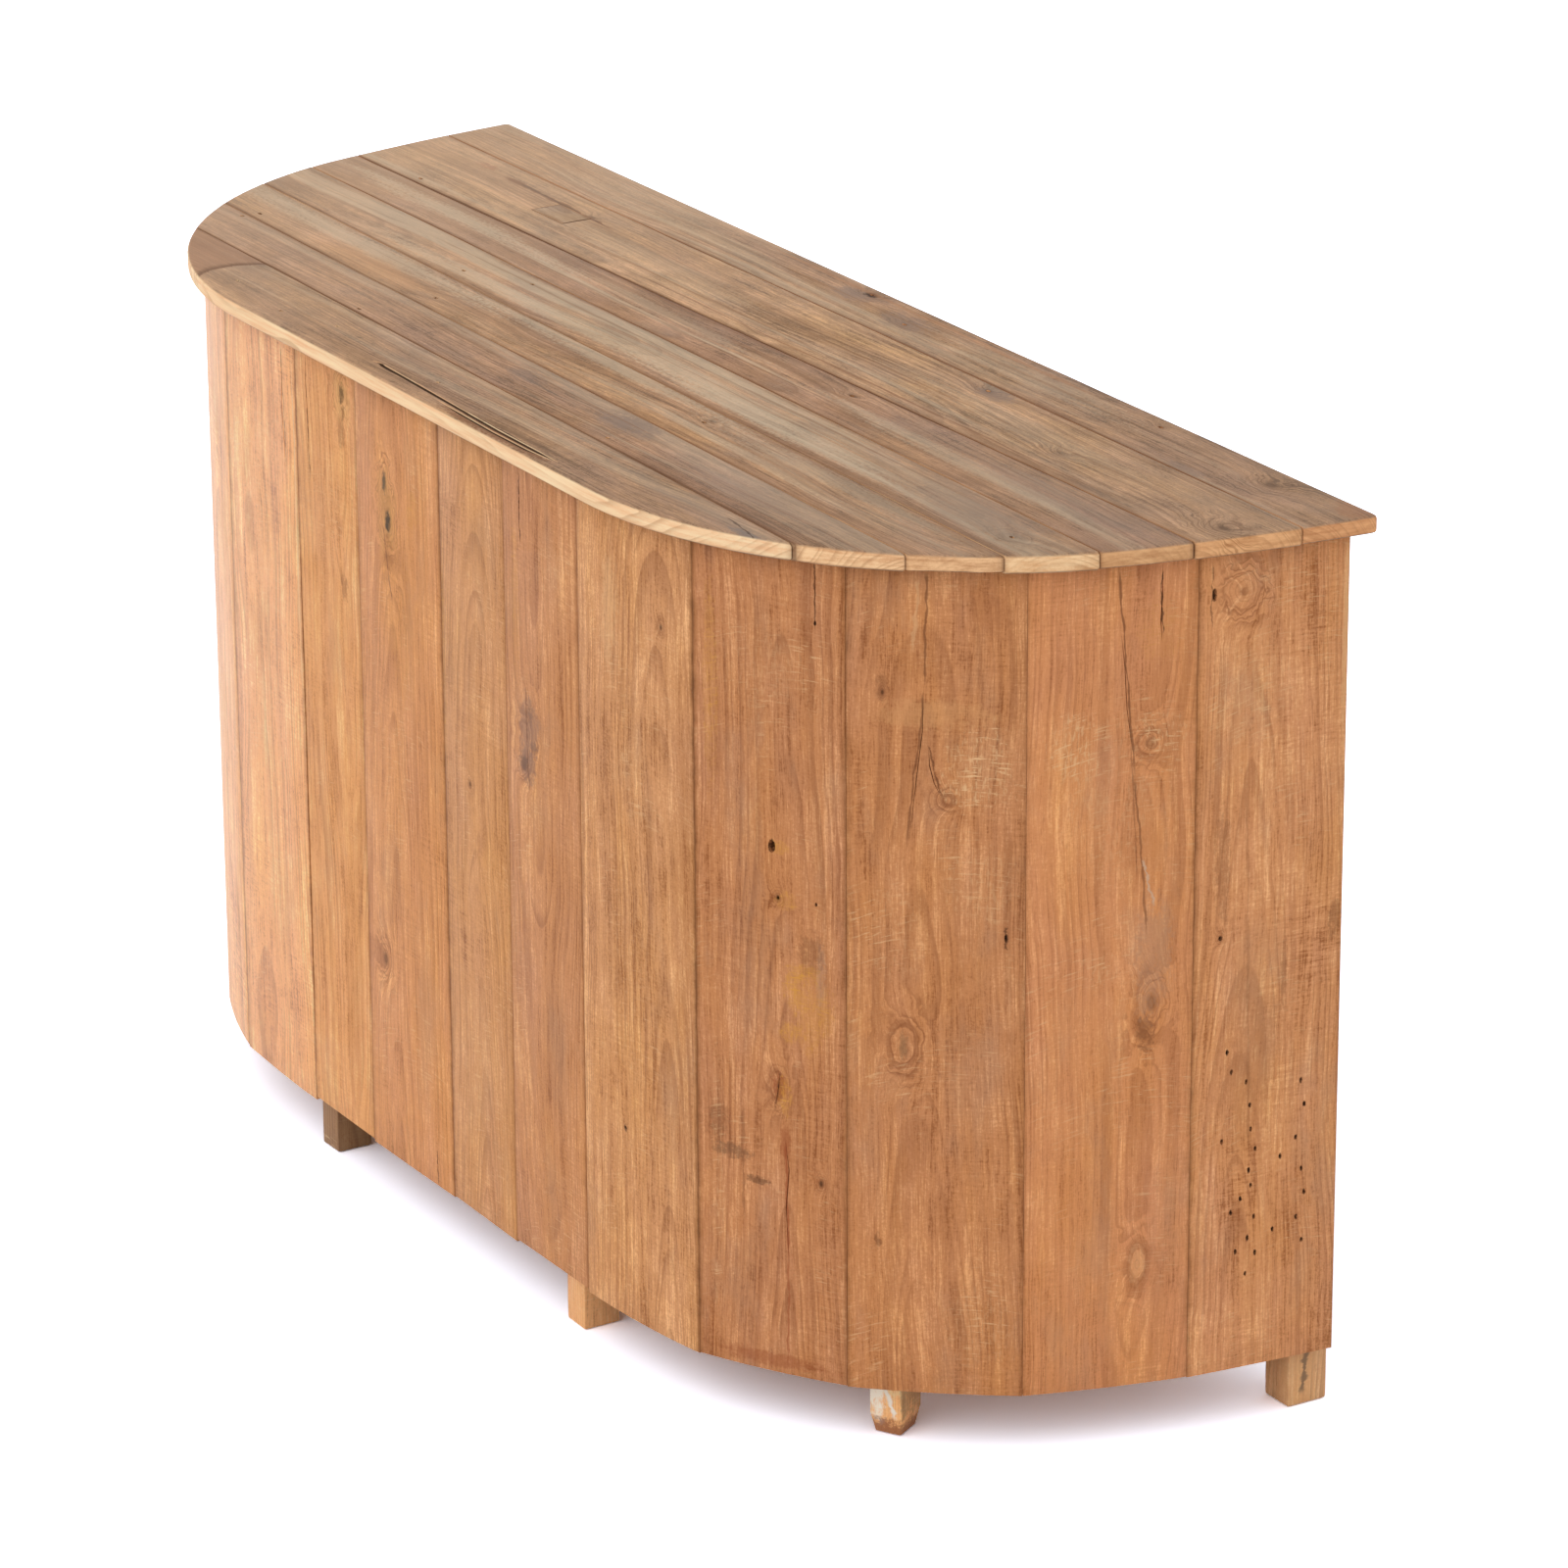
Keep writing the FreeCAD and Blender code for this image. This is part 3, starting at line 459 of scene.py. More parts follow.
    def scuffs(self, *marks):
        """Flecks of bare wood or paint at known places: across, height, half sizes, strength, paint."""
        for x, z, wide, high, amount, *paint in marks:
            bare = 0.3 if paint else 0.08
            flecks = self.face["Flecks"] * (1 - bare) + bare
            self.layer(self.mark(x, z, wide, high) * flecks, paint[0] if paint else PALE, amount)

    def lines(self, *marks):
        """Lines along the grain: across and height of the start and of the end, width, colour, strength."""
        for x, z, to_x, to_z, width, colour, amount in marks:
            mark = use_group(self.tree, LINE, Board=self.board, Across=x, Height=z, EndAcross=to_x,
                             EndHeight=to_z, Width=width)
            self.layer(mark["Mark"], colour, amount)

    def wax(self, roughness, relief=0.35, ior=WAXED):
        """The finished surface: a dull sheen, less on dry wood, with fibres and pores that can be felt."""
        shader = self.tree.nodes["Principled BSDF"]
        fibre, face = self.figure["Fibre"], self.face
        self.colour.into(shader.inputs["Base Color"])
        weighed(roughness, (fibre, 0.25), (face["Grey"], 0.1)).into(shader.inputs["Roughness"])
        raised = weighed(0.0, (fibre, 0.8), (self.figure["Tone"], 0.4))
        height = raised - self.figure["Pores"] * 0.5 + face["Scuff"] * 0.3
        wire(self.tree, "Bump", relief, 0.0006, None, height).into(shader.inputs["Normal"])
        shader.inputs["Specular IOR Level"].default_value = 0.3
        shader.inputs["IOR"].default_value = ior
        return self.material


def cut_out(piece, cutter, board):
    """Turn a cutter from the board's own directions into place and take it out of the piece."""
    across, out, grain, centre = board
    cutter.matrix_world = Matrix.Translation(centre) @ Matrix((across, out, grain)).transposed().to_4x4()
    bpy.ops.object.transform_apply(location=True, rotation=True, scale=True)
    bpy.context.view_layer.objects.active = piece
    cut = piece.modifiers.new("cut", "BOOLEAN")
    cut.object, cut.operation, cut.solver = cutter, "DIFFERENCE", "EXACT"
    bpy.ops.object.modifier_apply(modifier=cut.name)
    bpy.data.objects.remove(cutter)


def face_depth(piece, board, x, z):
    """How far the outer face stands out from the board's origin at a place."""
    across, out, grain, centre = board
    bpy.context.view_layer.update()
    start = centre + across * x + grain * z + out * 0.3
    found, place, _, _ = piece.ray_cast(start, -out)
    return (place - centre).dot(out) if found else 0.0


def crack(piece, board, width, depth, *places):
    """A split along the grain: a thin blade drawn through a few places, pointed at both ends."""
    path = [Vector((x, face_depth(piece, board, x, z), z)) for x, z in places]
    bpy.ops.object.select_all(action="DESELECT")
    bpy.ops.mesh.primitive_circle_add(vertices=4, radius=1.0, fill_type="NGON")
    blade, tip = bpy.context.object, 0.00005
    bpy.ops.object.mode_set(mode="EDIT")
    bpy.ops.mesh.select_all(action="SELECT")
    bpy.ops.transform.resize(value=(tip, tip, 1))
    bpy.ops.transform.translate(value=path[0])
    for index, (start, stop) in enumerate(zip(path, path[1:])):
        bpy.ops.mesh.extrude_region_move(TRANSFORM_OT_translate={"value": stop - start})
        if index == 0:
            bpy.ops.transform.resize(value=(width / 2 / tip, depth / tip, 1), center_override=stop)
        elif index == len(path) - 2:
            bpy.ops.transform.resize(value=(2 * tip / width, tip / depth, 1), center_override=stop)
    bpy.ops.mesh.select_all(action="SELECT")
    bpy.ops.mesh.normals_make_consistent(inside=False)
    bpy.ops.object.mode_set(mode="OBJECT")
    cut_out(piece, blade, board)


def hole(piece, board, x, z, wide, high, depth, seed=0):
    """A nail hole or a fallen knot: an uneven egg pressed into the face."""
    bpy.ops.object.select_all(action="DESELECT")
    bpy.ops.mesh.primitive_ico_sphere_add(subdivisions=3, radius=1.0)
    egg = bpy.context.object
    bpy.ops.object.mode_set(mode="EDIT")
    bpy.ops.mesh.select_all(action="SELECT")
    bpy.ops.transform.vertex_random(offset=0.08, seed=seed)
    bpy.ops.transform.resize(value=(wide, depth, high), center_override=(0, 0, 0))
    bpy.ops.transform.translate(value=(x, face_depth(piece, board, x, z), z))
    bpy.ops.object.mode_set(mode="OBJECT")
    cut_out(piece, egg, board)


def upright_frame(node):
    """Across, outward and centre of an upright board, read from its largest inner face."""
    best = max(
        (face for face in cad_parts[node].data.polygons
         if abs(face.normal.z) < 0.01 and face.normal.dot(Vector((0, 0.1, 0)) - face.center) > 0.05),
        key=lambda face: round(face.area, 6),
    )
    mates = [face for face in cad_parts[node].data.polygons if face.normal.dot(best.normal) > 0.9999]
    centre = sum((face.center * face.area for face in mates), Vector()) / sum(face.area for face in mates)
    centre.z = 0
    out = -best.normal.copy()
    return Vector((out.y, -out.x, 0)), out, centre


FEET = {
    "corner_right_post": dict(
        height=0.012, size=0.8, shift=(0, 0, 0),
        stains=((0.0, 0.08, 0.035, 0.035, tone(238, 212, 160), 0.8),
                (-0.014, 0.06, 0.018, 0.05, tone(250, 240, 222), 0.95),
                (0.024, 0.06, 0.006, 0.05, tone(142, 112, 76), 0.6),
                (0.0, 0.004, 0.06, 0.020, tone(146, 86, 52), 0.85)),
        lines=((-0.012, 0.105, 0.012, 0.02, 0.005, tone(240, 234, 222), 0.9),),
        cracks=(),
    ),
    "back_right_post": dict(
        height=0.085, size=1.12, shift=(0.003, 0.006, 0),
        stains=((0.0, 0.06, 0.03, 0.03, tone(196, 150, 104), 0.4),),
        lines=((0.004, 0.078, -0.002, 0.012, 0.006, tone(104, 82, 60), 0.8),),
        cracks=((0.0016, 0.006, (0.012, 0.07), (0.011, 0.045), (0.013, 0.01)),
                (0.0012, 0.005, (-0.004, 0.06), (-0.003, 0.02))),
    ),
}
POST_WOOD = (168, 112, 70), (216, 160, 110), (240, 198, 150), (128, 82, 48)
# A share for the lightness of each post's wood; the front left post's low share is painted shade, for the
# shade it stands in under the body.
POST_LIGHTNESS_AND_SHADE = {"front_left_post": 0.72, "front_right_post": 1.1, "corner_right_post": 1.14}
BRIGHTEST = 252
CORNER_TURN = 30
POSTS = ("front_left_post", "front_right_post", "corner_left_post", "corner_right_post", "back_left_post",
         "back_right_post", "left_door_post", "right_door_post")
for number, node in enumerate(POSTS):
    post = worn(node, "carcass", ease=0.003, grain=UP, pitch=0.026, dents=0.0016, lump=0.03)
    low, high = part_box(node)
    middle = (low + high) / 2 * Vector((1, 1, 0))
    side = CORNER_TURN if "corner" in node else 0
    turn = math.radians(-side if "left" in node else side)
    across = Vector((math.cos(turn), math.sin(turn), 0))
    out = Vector((-math.sin(turn), math.cos(turn), 0))
    if "back" in node:
        across, out = ACROSS, -ALONG
    finish = Teak(node, across, out, UP, middle, seed=40 + number, heart=(0.05, 0.03, 0.02))
    light = POST_LIGHTNESS_AND_SHADE.get(node, 1.0)
    finish.wood(*([min(value * light, BRIGHTEST) for value in colour] for colour in POST_WOOD))
    finish.use(scuff=0.5, grey=0.2, pale=tone(238, 206, 162), ash=tone(176, 142, 112))
    if node in FEET:
        foot = FEET[node]
        for corner in post.data.vertices:
            corner.select = corner.co.z < foot["height"]
        bpy.ops.object.mode_set(mode="EDIT")
        bpy.ops.transform.resize(value=(foot["size"], foot["size"], 1), center_override=middle)
        bpy.ops.transform.translate(value=foot["shift"])
        bpy.ops.object.mode_set(mode="OBJECT")
        for width, depth, *places in foot["cracks"]:
            crack(post, (-ALONG, -ACROSS, UP, middle), width, depth, *places)
        finish.stains(*foot["stains"])
        finish.lines(*foot["lines"])
    post.data.materials.append(finish.wax(0.65))

# Frame under the top: a front rail and sawn ribs that carry the staves, a back rail over the doors
# and three bearers, all left as the saw cut them.
RAILS = "upper_front_rail", "back_top_rail"
for number, node in enumerate(("upper_front_rail", "upper_left_front_rib", "upper_left_end_rib",
                               "back_top_rail", "upper_right_front_rib", "upper_right_end_rib",
                               "top_bearers")):
    across, out, grain = (ACROSS, UP, ALONG) if node in RAILS else (UP, ALONG, ACROSS)
    timber = worn(node, "carcass", ease=0.002, grain=grain, pitch=0.15, dents=0.001)
    low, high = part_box(node)
    finish = Teak(node, across, out, grain, (low + high) / 2, seed=60 + number, heart=(0.03, 0.05, 0.02))
    finish.wood((128, 82, 50), (172, 118, 78), (200, 148, 104), (96, 60, 36))
    finish.use(scuff=0.7, grey=0.4)
    timber.data.materials.append(finish.wax(0.7))

# Deck: four wide boards of sawn teak, cut round the posts and greyed by use. They lie on two bearers
# that run between the front and back posts.
for number, node in enumerate(("deck_board_1", "deck_board_2", "deck_board_3", "deck_board_4",
                               "deck_bearers")):
    across, out, grain = (UP, ALONG, ACROSS) if node == "deck_bearers" else (ACROSS, UP, ALONG)
    timber = worn(node, "carcass", ease=0.0015, grain=grain, pitch=0.15, dents=0.0008)
    low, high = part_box(node)
    finish = Teak(node, across, out, grain, (low + high) / 2, seed=70 + number,
                  heart=(0.02 * number - 0.04, 0.06, 0.02), half=abs((high - low).dot(across)) / 2)
    finish.wood((138, 90, 56), (182, 128, 86), (208, 156, 110), (104, 66, 40))
    finish.use(scuff=0.6, grey=0.5, seam=0.5)
    timber.data.materials.append(finish.wax(0.65))

# Partitions and shelves: plain boards that divide the inside into three bays, with a shelf in each
# on cleats nailed to the partitions.
for number, node in enumerate(("left_partition", "right_partition", "left_shelf", "right_shelf",
                               "centre_shelf")):
    low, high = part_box(node)
    across, out, grain, centre = ACROSS, UP, ALONG, (low + high) / 2
    if "partition" in node:
        out, grain, centre = -ALONG, UP, centre * Vector((1, 1, 0))
    board = worn(node, "carcass", ease=0.0015, grain=grain, pitch=0.12, dents=0.0008)
    finish = Teak(node, across, out, grain, centre, seed=80 + number,
                  heart=(0.05 - 0.03 * number, 0.05, 0.03),
                  knots=((0.1, 0.35 * number - 0.6, 0.008, 1.6, 0.7),))
    finish.wood((140, 92, 58), (184, 130, 88), (210, 158, 112), (104, 66, 40))
    finish.use(scuff=0.5, grey=0.45)
    board.data.materials.append(finish.wax(0.62))
cleats = worn("shelf_cleats", "carcass", ease=0.0015, grain=ACROSS, pitch=0.15, dents=0.0006)
finish = Teak("shelf_cleats", UP, ALONG, ACROSS, (0, 0, 0.58), seed=90, heart=(0.03, 0.05, 0.02))
finish.wood((132, 86, 54), (176, 122, 82), (202, 150, 106), (98, 62, 38))
finish.use(scuff=0.6, grey=0.4)
cleats.data.materials.append(finish.wax(0.68))

# Wall: fifteen upright staves of reclaimed teak, bevelled to one another, planed towards the round
# and nailed to the ribs. Each keeps its own colour, figure and old damage.
STAVE_WOOD = (142, 84, 46), (190, 127, 80), (226, 163, 108), (120, 68, 38)
PLAIN_STAVE = dict(trim=None, joint=0.6, chatter=0.3, contrast=1.3, knots=(), stains=(), scuffs=(),
                   lines=(), cracks=(), holes=(), worm_holes=())
HIDDEN_JOINT = 0.3
WAXED_STAVES = 10, 11
# A stave's shade multiplies the common colours, its trim is the saw's rise and slant in degrees at the
# foot, and its joint is how open it is on the left. Stains, scuffs and lines are in Teak's own order. A
# knot has its place, size, length to width and darkness, a crack its width, depth and places, and a hole
# its place, half sizes and depth.
# The near-black lines drawn along cracks and through holes are painted shade in them.
STAVES = {
    1: dict(
        shade=(1.13, 1.17, 1.27), heart=(0.03, 0.035, 0.05), trim=(0.002, -1.0), joint=0.75, chatter=1.0,
        contrast=1.15,
        knots=((0.038, 1.022, 0.013, 1.15, 0.12), (0.061, 0.611, 0.003, 1.5, 0.8)),
        stains=((0.06, 0.70, 0.012, 0.09, DARK, 0.35), (-0.02, 0.56, 0.006, 0.05, DARK, 0.35),
                (-0.084, 0.609, 0.012, 0.03, DARK, 0.45),
                (0.02, 0.45, 0.05, 0.12, tone(160, 104, 66), 0.3),
                (-0.09, 0.95, 0.005, 0.16, tone(226, 176, 126), 0.6)),
        scuffs=((0.03, 0.905, 0.06, 0.07, 0.3),),
        lines=((0.078, 1.06, 0.079, 0.98, 0.0015, SOOT_AND_PAINTED_SHADE, 0.5), (0.03, 0.80, 0.02, 0.30, 0.003, DARK, 0.25)),
        holes=((0.075, 1.023, 0.0028, 0.0075, 0.006), (0.061, 0.611, 0.0022, 0.003, 0.004)),
        worm_holes=((0.02, 0.40), (0.025, 0.43), (0.018, 0.37), (0.012, 0.345), (0.02, 0.32),
                    (0.017, 0.30), (0.03, 0.285), (0.012, 0.26), (0.02, 0.235), (0.01, 0.215),
                    (0.022, 0.19), (-0.045, 0.42), (-0.05, 0.39), (-0.04, 0.35), (-0.048, 0.31),
                    (-0.052, 0.28), (-0.042, 0.25), (-0.05, 0.22), (0.05, 0.47), (0.044, 0.445),
                    (0.055, 0.36), (0.042, 0.27), (-0.02, 0.33), (-0.012, 0.24), (0.035, 0.22)),
    ),
    2: dict(
        shade=(1.12, 1.13, 1.21), heart=(-0.03, 0.05, -0.03), trim=(0.001, -0.3), joint=0.35, chatter=0.6,
        contrast=0.92,
        knots=((-0.048, 0.544, 0.010, 2.0, 0.3), (-0.043, 0.857, 0.009, 1.1, 0.3),
               (-0.035, 0.223, 0.008, 2.2, 0.02)),
        stains=((-0.041, 0.507, 0.014, 0.03, DARK, 0.5), (-0.035, 0.223, 0.014, 0.03, PALE, 0.2),
                (-0.05, 0.60, 0.03, 0.08, ASH, 0.3)),
        scuffs=((-0.05, 0.99, 0.03, 0.05, 0.3, AMBER), (0.045, 0.86, 0.035, 0.05, 0.75),
                (-0.055, 0.87, 0.035, 0.03, 0.7), (0.015, 0.59, 0.03, 0.025, 0.5),
                (0.0, 0.80, 0.08, 0.12, 0.3)),
        lines=((-0.003, 1.07, -0.026, 0.81, 0.0022, DARK, 0.7),
               (-0.026, 0.82, -0.042, 0.62, 0.002, DARK, 0.6),
               (-0.054, 1.06, -0.056, 0.98, 0.0014, SOOT_AND_PAINTED_SHADE, 0.75),
               (-0.02, 0.86, -0.03, 0.69, 0.0015, DARK, 0.4),
               (-0.036, 0.72, -0.05, 0.66, 0.0025, tone(200, 186, 166), 0.45)),
        cracks=((0.0016, 0.006, (-0.054, 1.072), (-0.055, 1.03), (-0.0535, 1.0), (-0.055, 0.975)),
                (0.0010, 0.004, (-0.006, 1.0), (-0.012, 0.95), (-0.015, 0.90), (-0.022, 0.85))),
    ),
    3: dict(
        shade=(1.04, 1.05, 1.11), heart=(0.02, 0.06, 0.04), trim=(0.001, 0.4), joint=0.6, chatter=0.6,
        contrast=1.2,
        knots=((0.034, 0.498, 0.010, 2.0, 0.12), (0.06, 0.924, 0.003, 1.6, 0.8),
               (-0.01, 0.80, 0.008, 1.2, 0.1)),
        stains=((0.036, 0.500, 0.007, 0.024, tone(128, 98, 70), 0.5),
                (0.065, 0.26, 0.005, 0.012, DARK, 0.6), (0.06, 0.93, 0.01, 0.02, DARK, 0.35),
                (0.0, 0.90, 0.08, 0.02, tone(214, 158, 106), 0.35),
                (-0.06, 1.02, 0.03, 0.04, tone(150, 92, 60), 0.3)),
        scuffs=((-0.049, 0.84, 0.05, 0.06, 0.85), (-0.02, 0.812, 0.02, 0.016, 0.8),
                (-0.05, 0.70, 0.05, 0.06, 0.4), (0.05, 0.64, 0.04, 0.08, 0.3),
                (-0.05, 0.16, 0.05, 0.06, 0.35)),
        lines=((0.010, 1.07, 0.013, 0.93, 0.0022, DARK, 0.65),
               (0.013, 0.93, 0.033, 0.735, 0.0022, DARK, 0.6),
               (0.008, 0.865, -0.006, 0.80, 0.0018, DARK, 0.75),
               (-0.079, 0.65, -0.080, 0.62, 0.0025, SOOT_AND_PAINTED_SHADE, 0.6),
               (0.018, 1.06, 0.028, 0.97, 0.004, PALE, 0.3)),
        cracks=((0.0012, 0.004, (0.008, 0.862), (0.007, 0.84), (0.002, 0.82), (-0.006, 0.803)),
                (0.0010, 0.004, (0.014, 0.93), (0.015, 0.88), (0.022, 0.82), (0.030, 0.745))),
        holes=((-0.079, 0.636, 0.0016, 0.005, 0.004),),
    ),
    4: dict(
        shade=(1.02, 1.03, 1.11), heart=(-0.02, 0.04, 0.03), trim=(0.002, -0.4), joint=1.0, chatter=0.5,
        contrast=1.25,
        knots=((-0.013, 0.662, 0.0045, 1.4, 0.7), (-0.013, 0.429, 0.007, 2.2, 0.7),
               (-0.066, 0.321, 0.004, 1.6, 0.8)),
        stains=((-0.067, 0.572, 0.008, 0.05, ASH, 0.4), (-0.055, 0.60, 0.02, 0.03, DARK, 0.4),
                (0.05, 0.34, 0.03, 0.012, tone(110, 78, 56), 0.6), (0.015, 0.31, 0.02, 0.006, SOOT_AND_PAINTED_SHADE, 0.5),
                (0.07, 0.37, 0.02, 0.03, DARK, 0.4), (-0.014, 0.43, 0.012, 0.02, RUST, 0.7),
                (0.0, 0.088, 0.09, 0.012, RUST, 0.5), (-0.02, 0.36, 0.01, 0.03, RUST, 0.55)),
        scuffs=((0.0, 0.93, 0.09, 0.08, 0.25), (-0.015, 0.723, 0.014, 0.01, 0.9, AMBER),
                (-0.024, 0.66, 0.016, 0.014, 0.8, AMBER), (-0.045, 0.575, 0.03, 0.014, 0.95, AMBER),
                (-0.032, 0.55, 0.018, 0.03, 0.9, AMBER), (-0.03, 0.50, 0.02, 0.016, 0.9, AMBER),
                (-0.055, 0.53, 0.03, 0.06, 0.7, AMBER), (-0.02, 0.42, 0.012, 0.03, 0.9, AMBER),
                (0.075, 0.9, 0.012, 0.14, 0.6, AMBER), (0.07, 0.30, 0.012, 0.2, 0.4)),
        lines=((-0.061, 1.07, -0.061, 0.985, 0.0016, SOOT_AND_PAINTED_SHADE, 0.6),
               (-0.021, 0.37, -0.024, 0.21, 0.0028, RUST, 0.75),
               (-0.024, 0.22, -0.022, 0.08, 0.0022, RUST, 0.6),
               (0.034, 0.40, 0.036, 0.25, 0.003, DARK, 0.35),
               (-0.014, 0.45, -0.008, 0.40, 0.002, DARK, 0.6)),
        cracks=((0.0013, 0.005, (-0.060, 1.072), (-0.0615, 1.04), (-0.0605, 1.0)),
                (0.0014, 0.004, (-0.020, 0.37), (-0.025, 0.33), (-0.021, 0.28), (-0.025, 0.21)),
                (0.0010, 0.004, (-0.014, 0.445), (-0.012, 0.43), (-0.008, 0.405))),
        holes=((-0.005, 0.723, 0.0046, 0.0078, 0.012), (-0.013, 0.662, 0.0018, 0.0024, 0.005),
               (-0.061, 0.662, 0.0016, 0.0024, 0.005), (-0.061, 0.997, 0.0016, 0.003, 0.005)),
    ),
    5: dict(
        shade=(1.09, 1.16, 1.25), heart=(-0.05, 0.03, 0.06), trim=(0.001, 0.6), joint=0.7,
        knots=((-0.056, 0.951, 0.004, 1.6, 0.7),),
        # The near-black stain over the hole is painted shade in it.
        stains=((0.022, 0.314, 0.004, 0.006, SOOT_AND_PAINTED_SHADE, 0.7), (-0.09, 0.6, 0.02, 0.4, tone(166, 108, 68), 0.35),
                (0.04, 0.95, 0.02, 0.09, PALE, 0.3)),
        scuffs=((0.012, 0.767, 0.04, 0.03, 0.4), (-0.024, 0.718, 0.04, 0.03, 0.4),
                (0.063, 0.188, 0.04, 0.03, 0.4), (0.0, 0.5, 0.08, 0.15, 0.2)),
        lines=((0.0, 1.0, 0.008, 0.84, 0.002, tone(160, 104, 70), 0.4),),
        holes=((0.022, 0.314, 0.0014, 0.0018, 0.004),),
    ),
    6: dict(
        shade=(1.05, 1.09, 1.19), heart=(0.01, 0.05, -0.05), trim=(0.005, -0.5), joint=0.4, chatter=0.55,
        contrast=1.1,
        knots=((0.036, 0.74, 0.011, 1.6, 0.2), (0.044, 0.695, 0.008, 1.2, 0.3)),
        stains=((0.034, 0.74, 0.030, 0.05, tone(150, 116, 96), 0.55),
                (0.040, 0.70, 0.026, 0.03, tone(140, 106, 88), 0.5),
                (0.030, 0.765, 0.010, 0.016, tone(112, 82, 66), 0.5),
                (0.046, 0.70, 0.012, 0.012, tone(104, 76, 60), 0.6),
                (0.022, 0.725, 0.010, 0.010, tone(120, 88, 70), 0.5)),
        scuffs=((-0.03, 0.96, 0.04, 0.05, 0.35), (0.06, 0.90, 0.010, 0.12, 0.5, AMBER)),
        lines=((0.047, 1.06, 0.046, 0.97, 0.0016, SOOT_AND_PAINTED_SHADE, 0.8), (0.04, 0.80, 0.035, 0.66, 0.003, DARK, 0.5)),
        cracks=((0.0018, 0.007, (0.047, 1.072), (0.0465, 1.03), (0.048, 1.0), (0.046, 0.965)),),
    ),
    7: dict(
        shade=(1.09, 1.17, 1.28), heart=(0.0, 0.03, 0.07), trim=(0.002, 0.8), joint=0.9, chatter=0.55,
        contrast=1.05,
        knots=((0.016, 0.631, 0.004, 1.5, 0.7),),
        stains=((-0.006, 0.563, 0.014, 0.02, tone(170, 116, 80), 0.4),),
        scuffs=((0.0, 0.3, 0.05, 0.1, 0.3), (0.076, 0.78, 0.008, 0.16, 0.55, AMBER)),
    ),
    8: dict(
        shade=(1.12, 1.17, 1.26), heart=(0.03, 0.05, 0.04), trim=(0.0, -0.6), joint=0.45, chatter=0.55,
        contrast=0.95,
        knots=((0.026, 0.905, 0.011, 2.0, 0.75), (0.033, 0.952, 0.008, 2.2, 0.6),
               (0.061, 0.331, 0.010, 1.4, 0.5)),
        stains=((0.0, 0.80, 0.05, 0.12, AMBER, 0.15), (0.03, 0.91, 0.028, 0.07, tone(214, 160, 96), 0.4),
                (0.028, 0.865, 0.014, 0.03, tone(150, 94, 52), 0.55),
                (0.027, 0.905, 0.0075, 0.017, tone(74, 58, 40), 0.95),
                (0.034, 0.954, 0.006, 0.016, tone(96, 78, 54), 0.9)),
        scuffs=((-0.05, 0.97, 0.03, 0.05, 0.4), (-0.035, 0.938, 0.02, 0.03, 0.6, AMBER)),
        lines=((-0.061, 0.12, -0.062, 0.07, 0.002, SOOT_AND_PAINTED_SHADE, 0.6),
               (0.04, 0.90, 0.02, 0.80, 0.0018, DARK, 0.6)),
        cracks=((0.0016, 0.006, (-0.061, 0.06), (-0.0615, 0.09), (-0.060, 0.12)),),
    ),
    9: dict(
        shade=(1.19, 1.28, 1.39), heart=(-0.03, 0.04, -0.04), trim=(0.004, 0.5), joint=0.95, chatter=0.55,
        contrast=1.0,
        knots=((-0.043, 1.038, 0.010, 1.5, 0.55),),
        stains=((-0.039, 0.788, 0.012, 0.02, DARK, 0.4), (-0.04, 0.99, 0.01, 0.03, DARK, 0.35),
                (-0.043, 1.035, 0.026, 0.04, tone(226, 176, 116), 0.45),
                (-0.044, 1.036, 0.007, 0.015, tone(112, 84, 54), 0.85),
                (-0.047, 1.012, 0.005, 0.012, tone(140, 96, 56), 0.7)),
        scuffs=((0.0, 0.9, 0.05, 0.06, 0.3),),
        lines=((0.05, 1.06, 0.045, 0.90, 0.0016, SOOT_AND_PAINTED_SHADE, 0.6),),
        cracks=((0.0018, 0.007, (0.048, 1.072), (0.050, 1.03), (0.046, 0.97), (0.047, 0.93)),
                (0.0015, 0.006, (0.047, 0.928), (0.043, 0.918), (0.036, 0.905)),
                (0.0050, 0.012, (0.0775, 0.80), (0.0775, 0.70), (0.0775, 0.55), (0.0775, 0.40),
                 (0.0775, 0.25), (0.0775, 0.06))),
    ),
    10: dict(
        shade=(1.24, 1.33, 1.42), heart=(0.04, 0.07, 0.02), trim=(0.001, 1.0), joint=0.7, chatter=0.7,
        scuffs=((0.0, 0.8, 0.09, 0.3, 0.35),),
        lines=((-0.061, 1.06, -0.068, 0.90, 0.0016, SOOT_AND_PAINTED_SHADE, 0.7),
               # The pale line down the stave's left edge is a painted highlight on its ridge.
               (-0.09, 1.06, -0.092, 0.6, 0.003, PALE, 0.7)),
        cracks=((0.0018, 0.007, (-0.061, 1.072), (-0.062, 1.03), (-0.060, 0.98), (-0.064, 0.93),
                 (-0.063, 0.895)),),
    ),
    11: dict(
        shade=(1.24, 1.34, 1.42), heart=(0.0, 0.06, 0.03), trim=(0.003, -1.0), joint=0.6, chatter=1.0,
        scuffs=((0.0, 0.6, 0.09, 0.3, 0.3),),
    ),
    12: dict(
        shade=(1.11, 1.16, 1.26), heart=(-0.03, 0.05, 0.05), trim=(0.002, 0.8),
        knots=((0.03, 0.62, 0.007, 1.6, 0.7),),
    ),
    13: dict(
        shade=(1.04, 1.07, 1.17), heart=(0.02, 0.04, -0.05),
        knots=((-0.02, 0.33, 0.006, 1.6, 0.7),),
    ),
    14: dict(
        shade=(1.07, 1.11, 1.20), heart=(0.05, 0.06, 0.03),
        knots=((0.02, 0.85, 0.009, 1.7, 0.7),),
    ),
    15: dict(
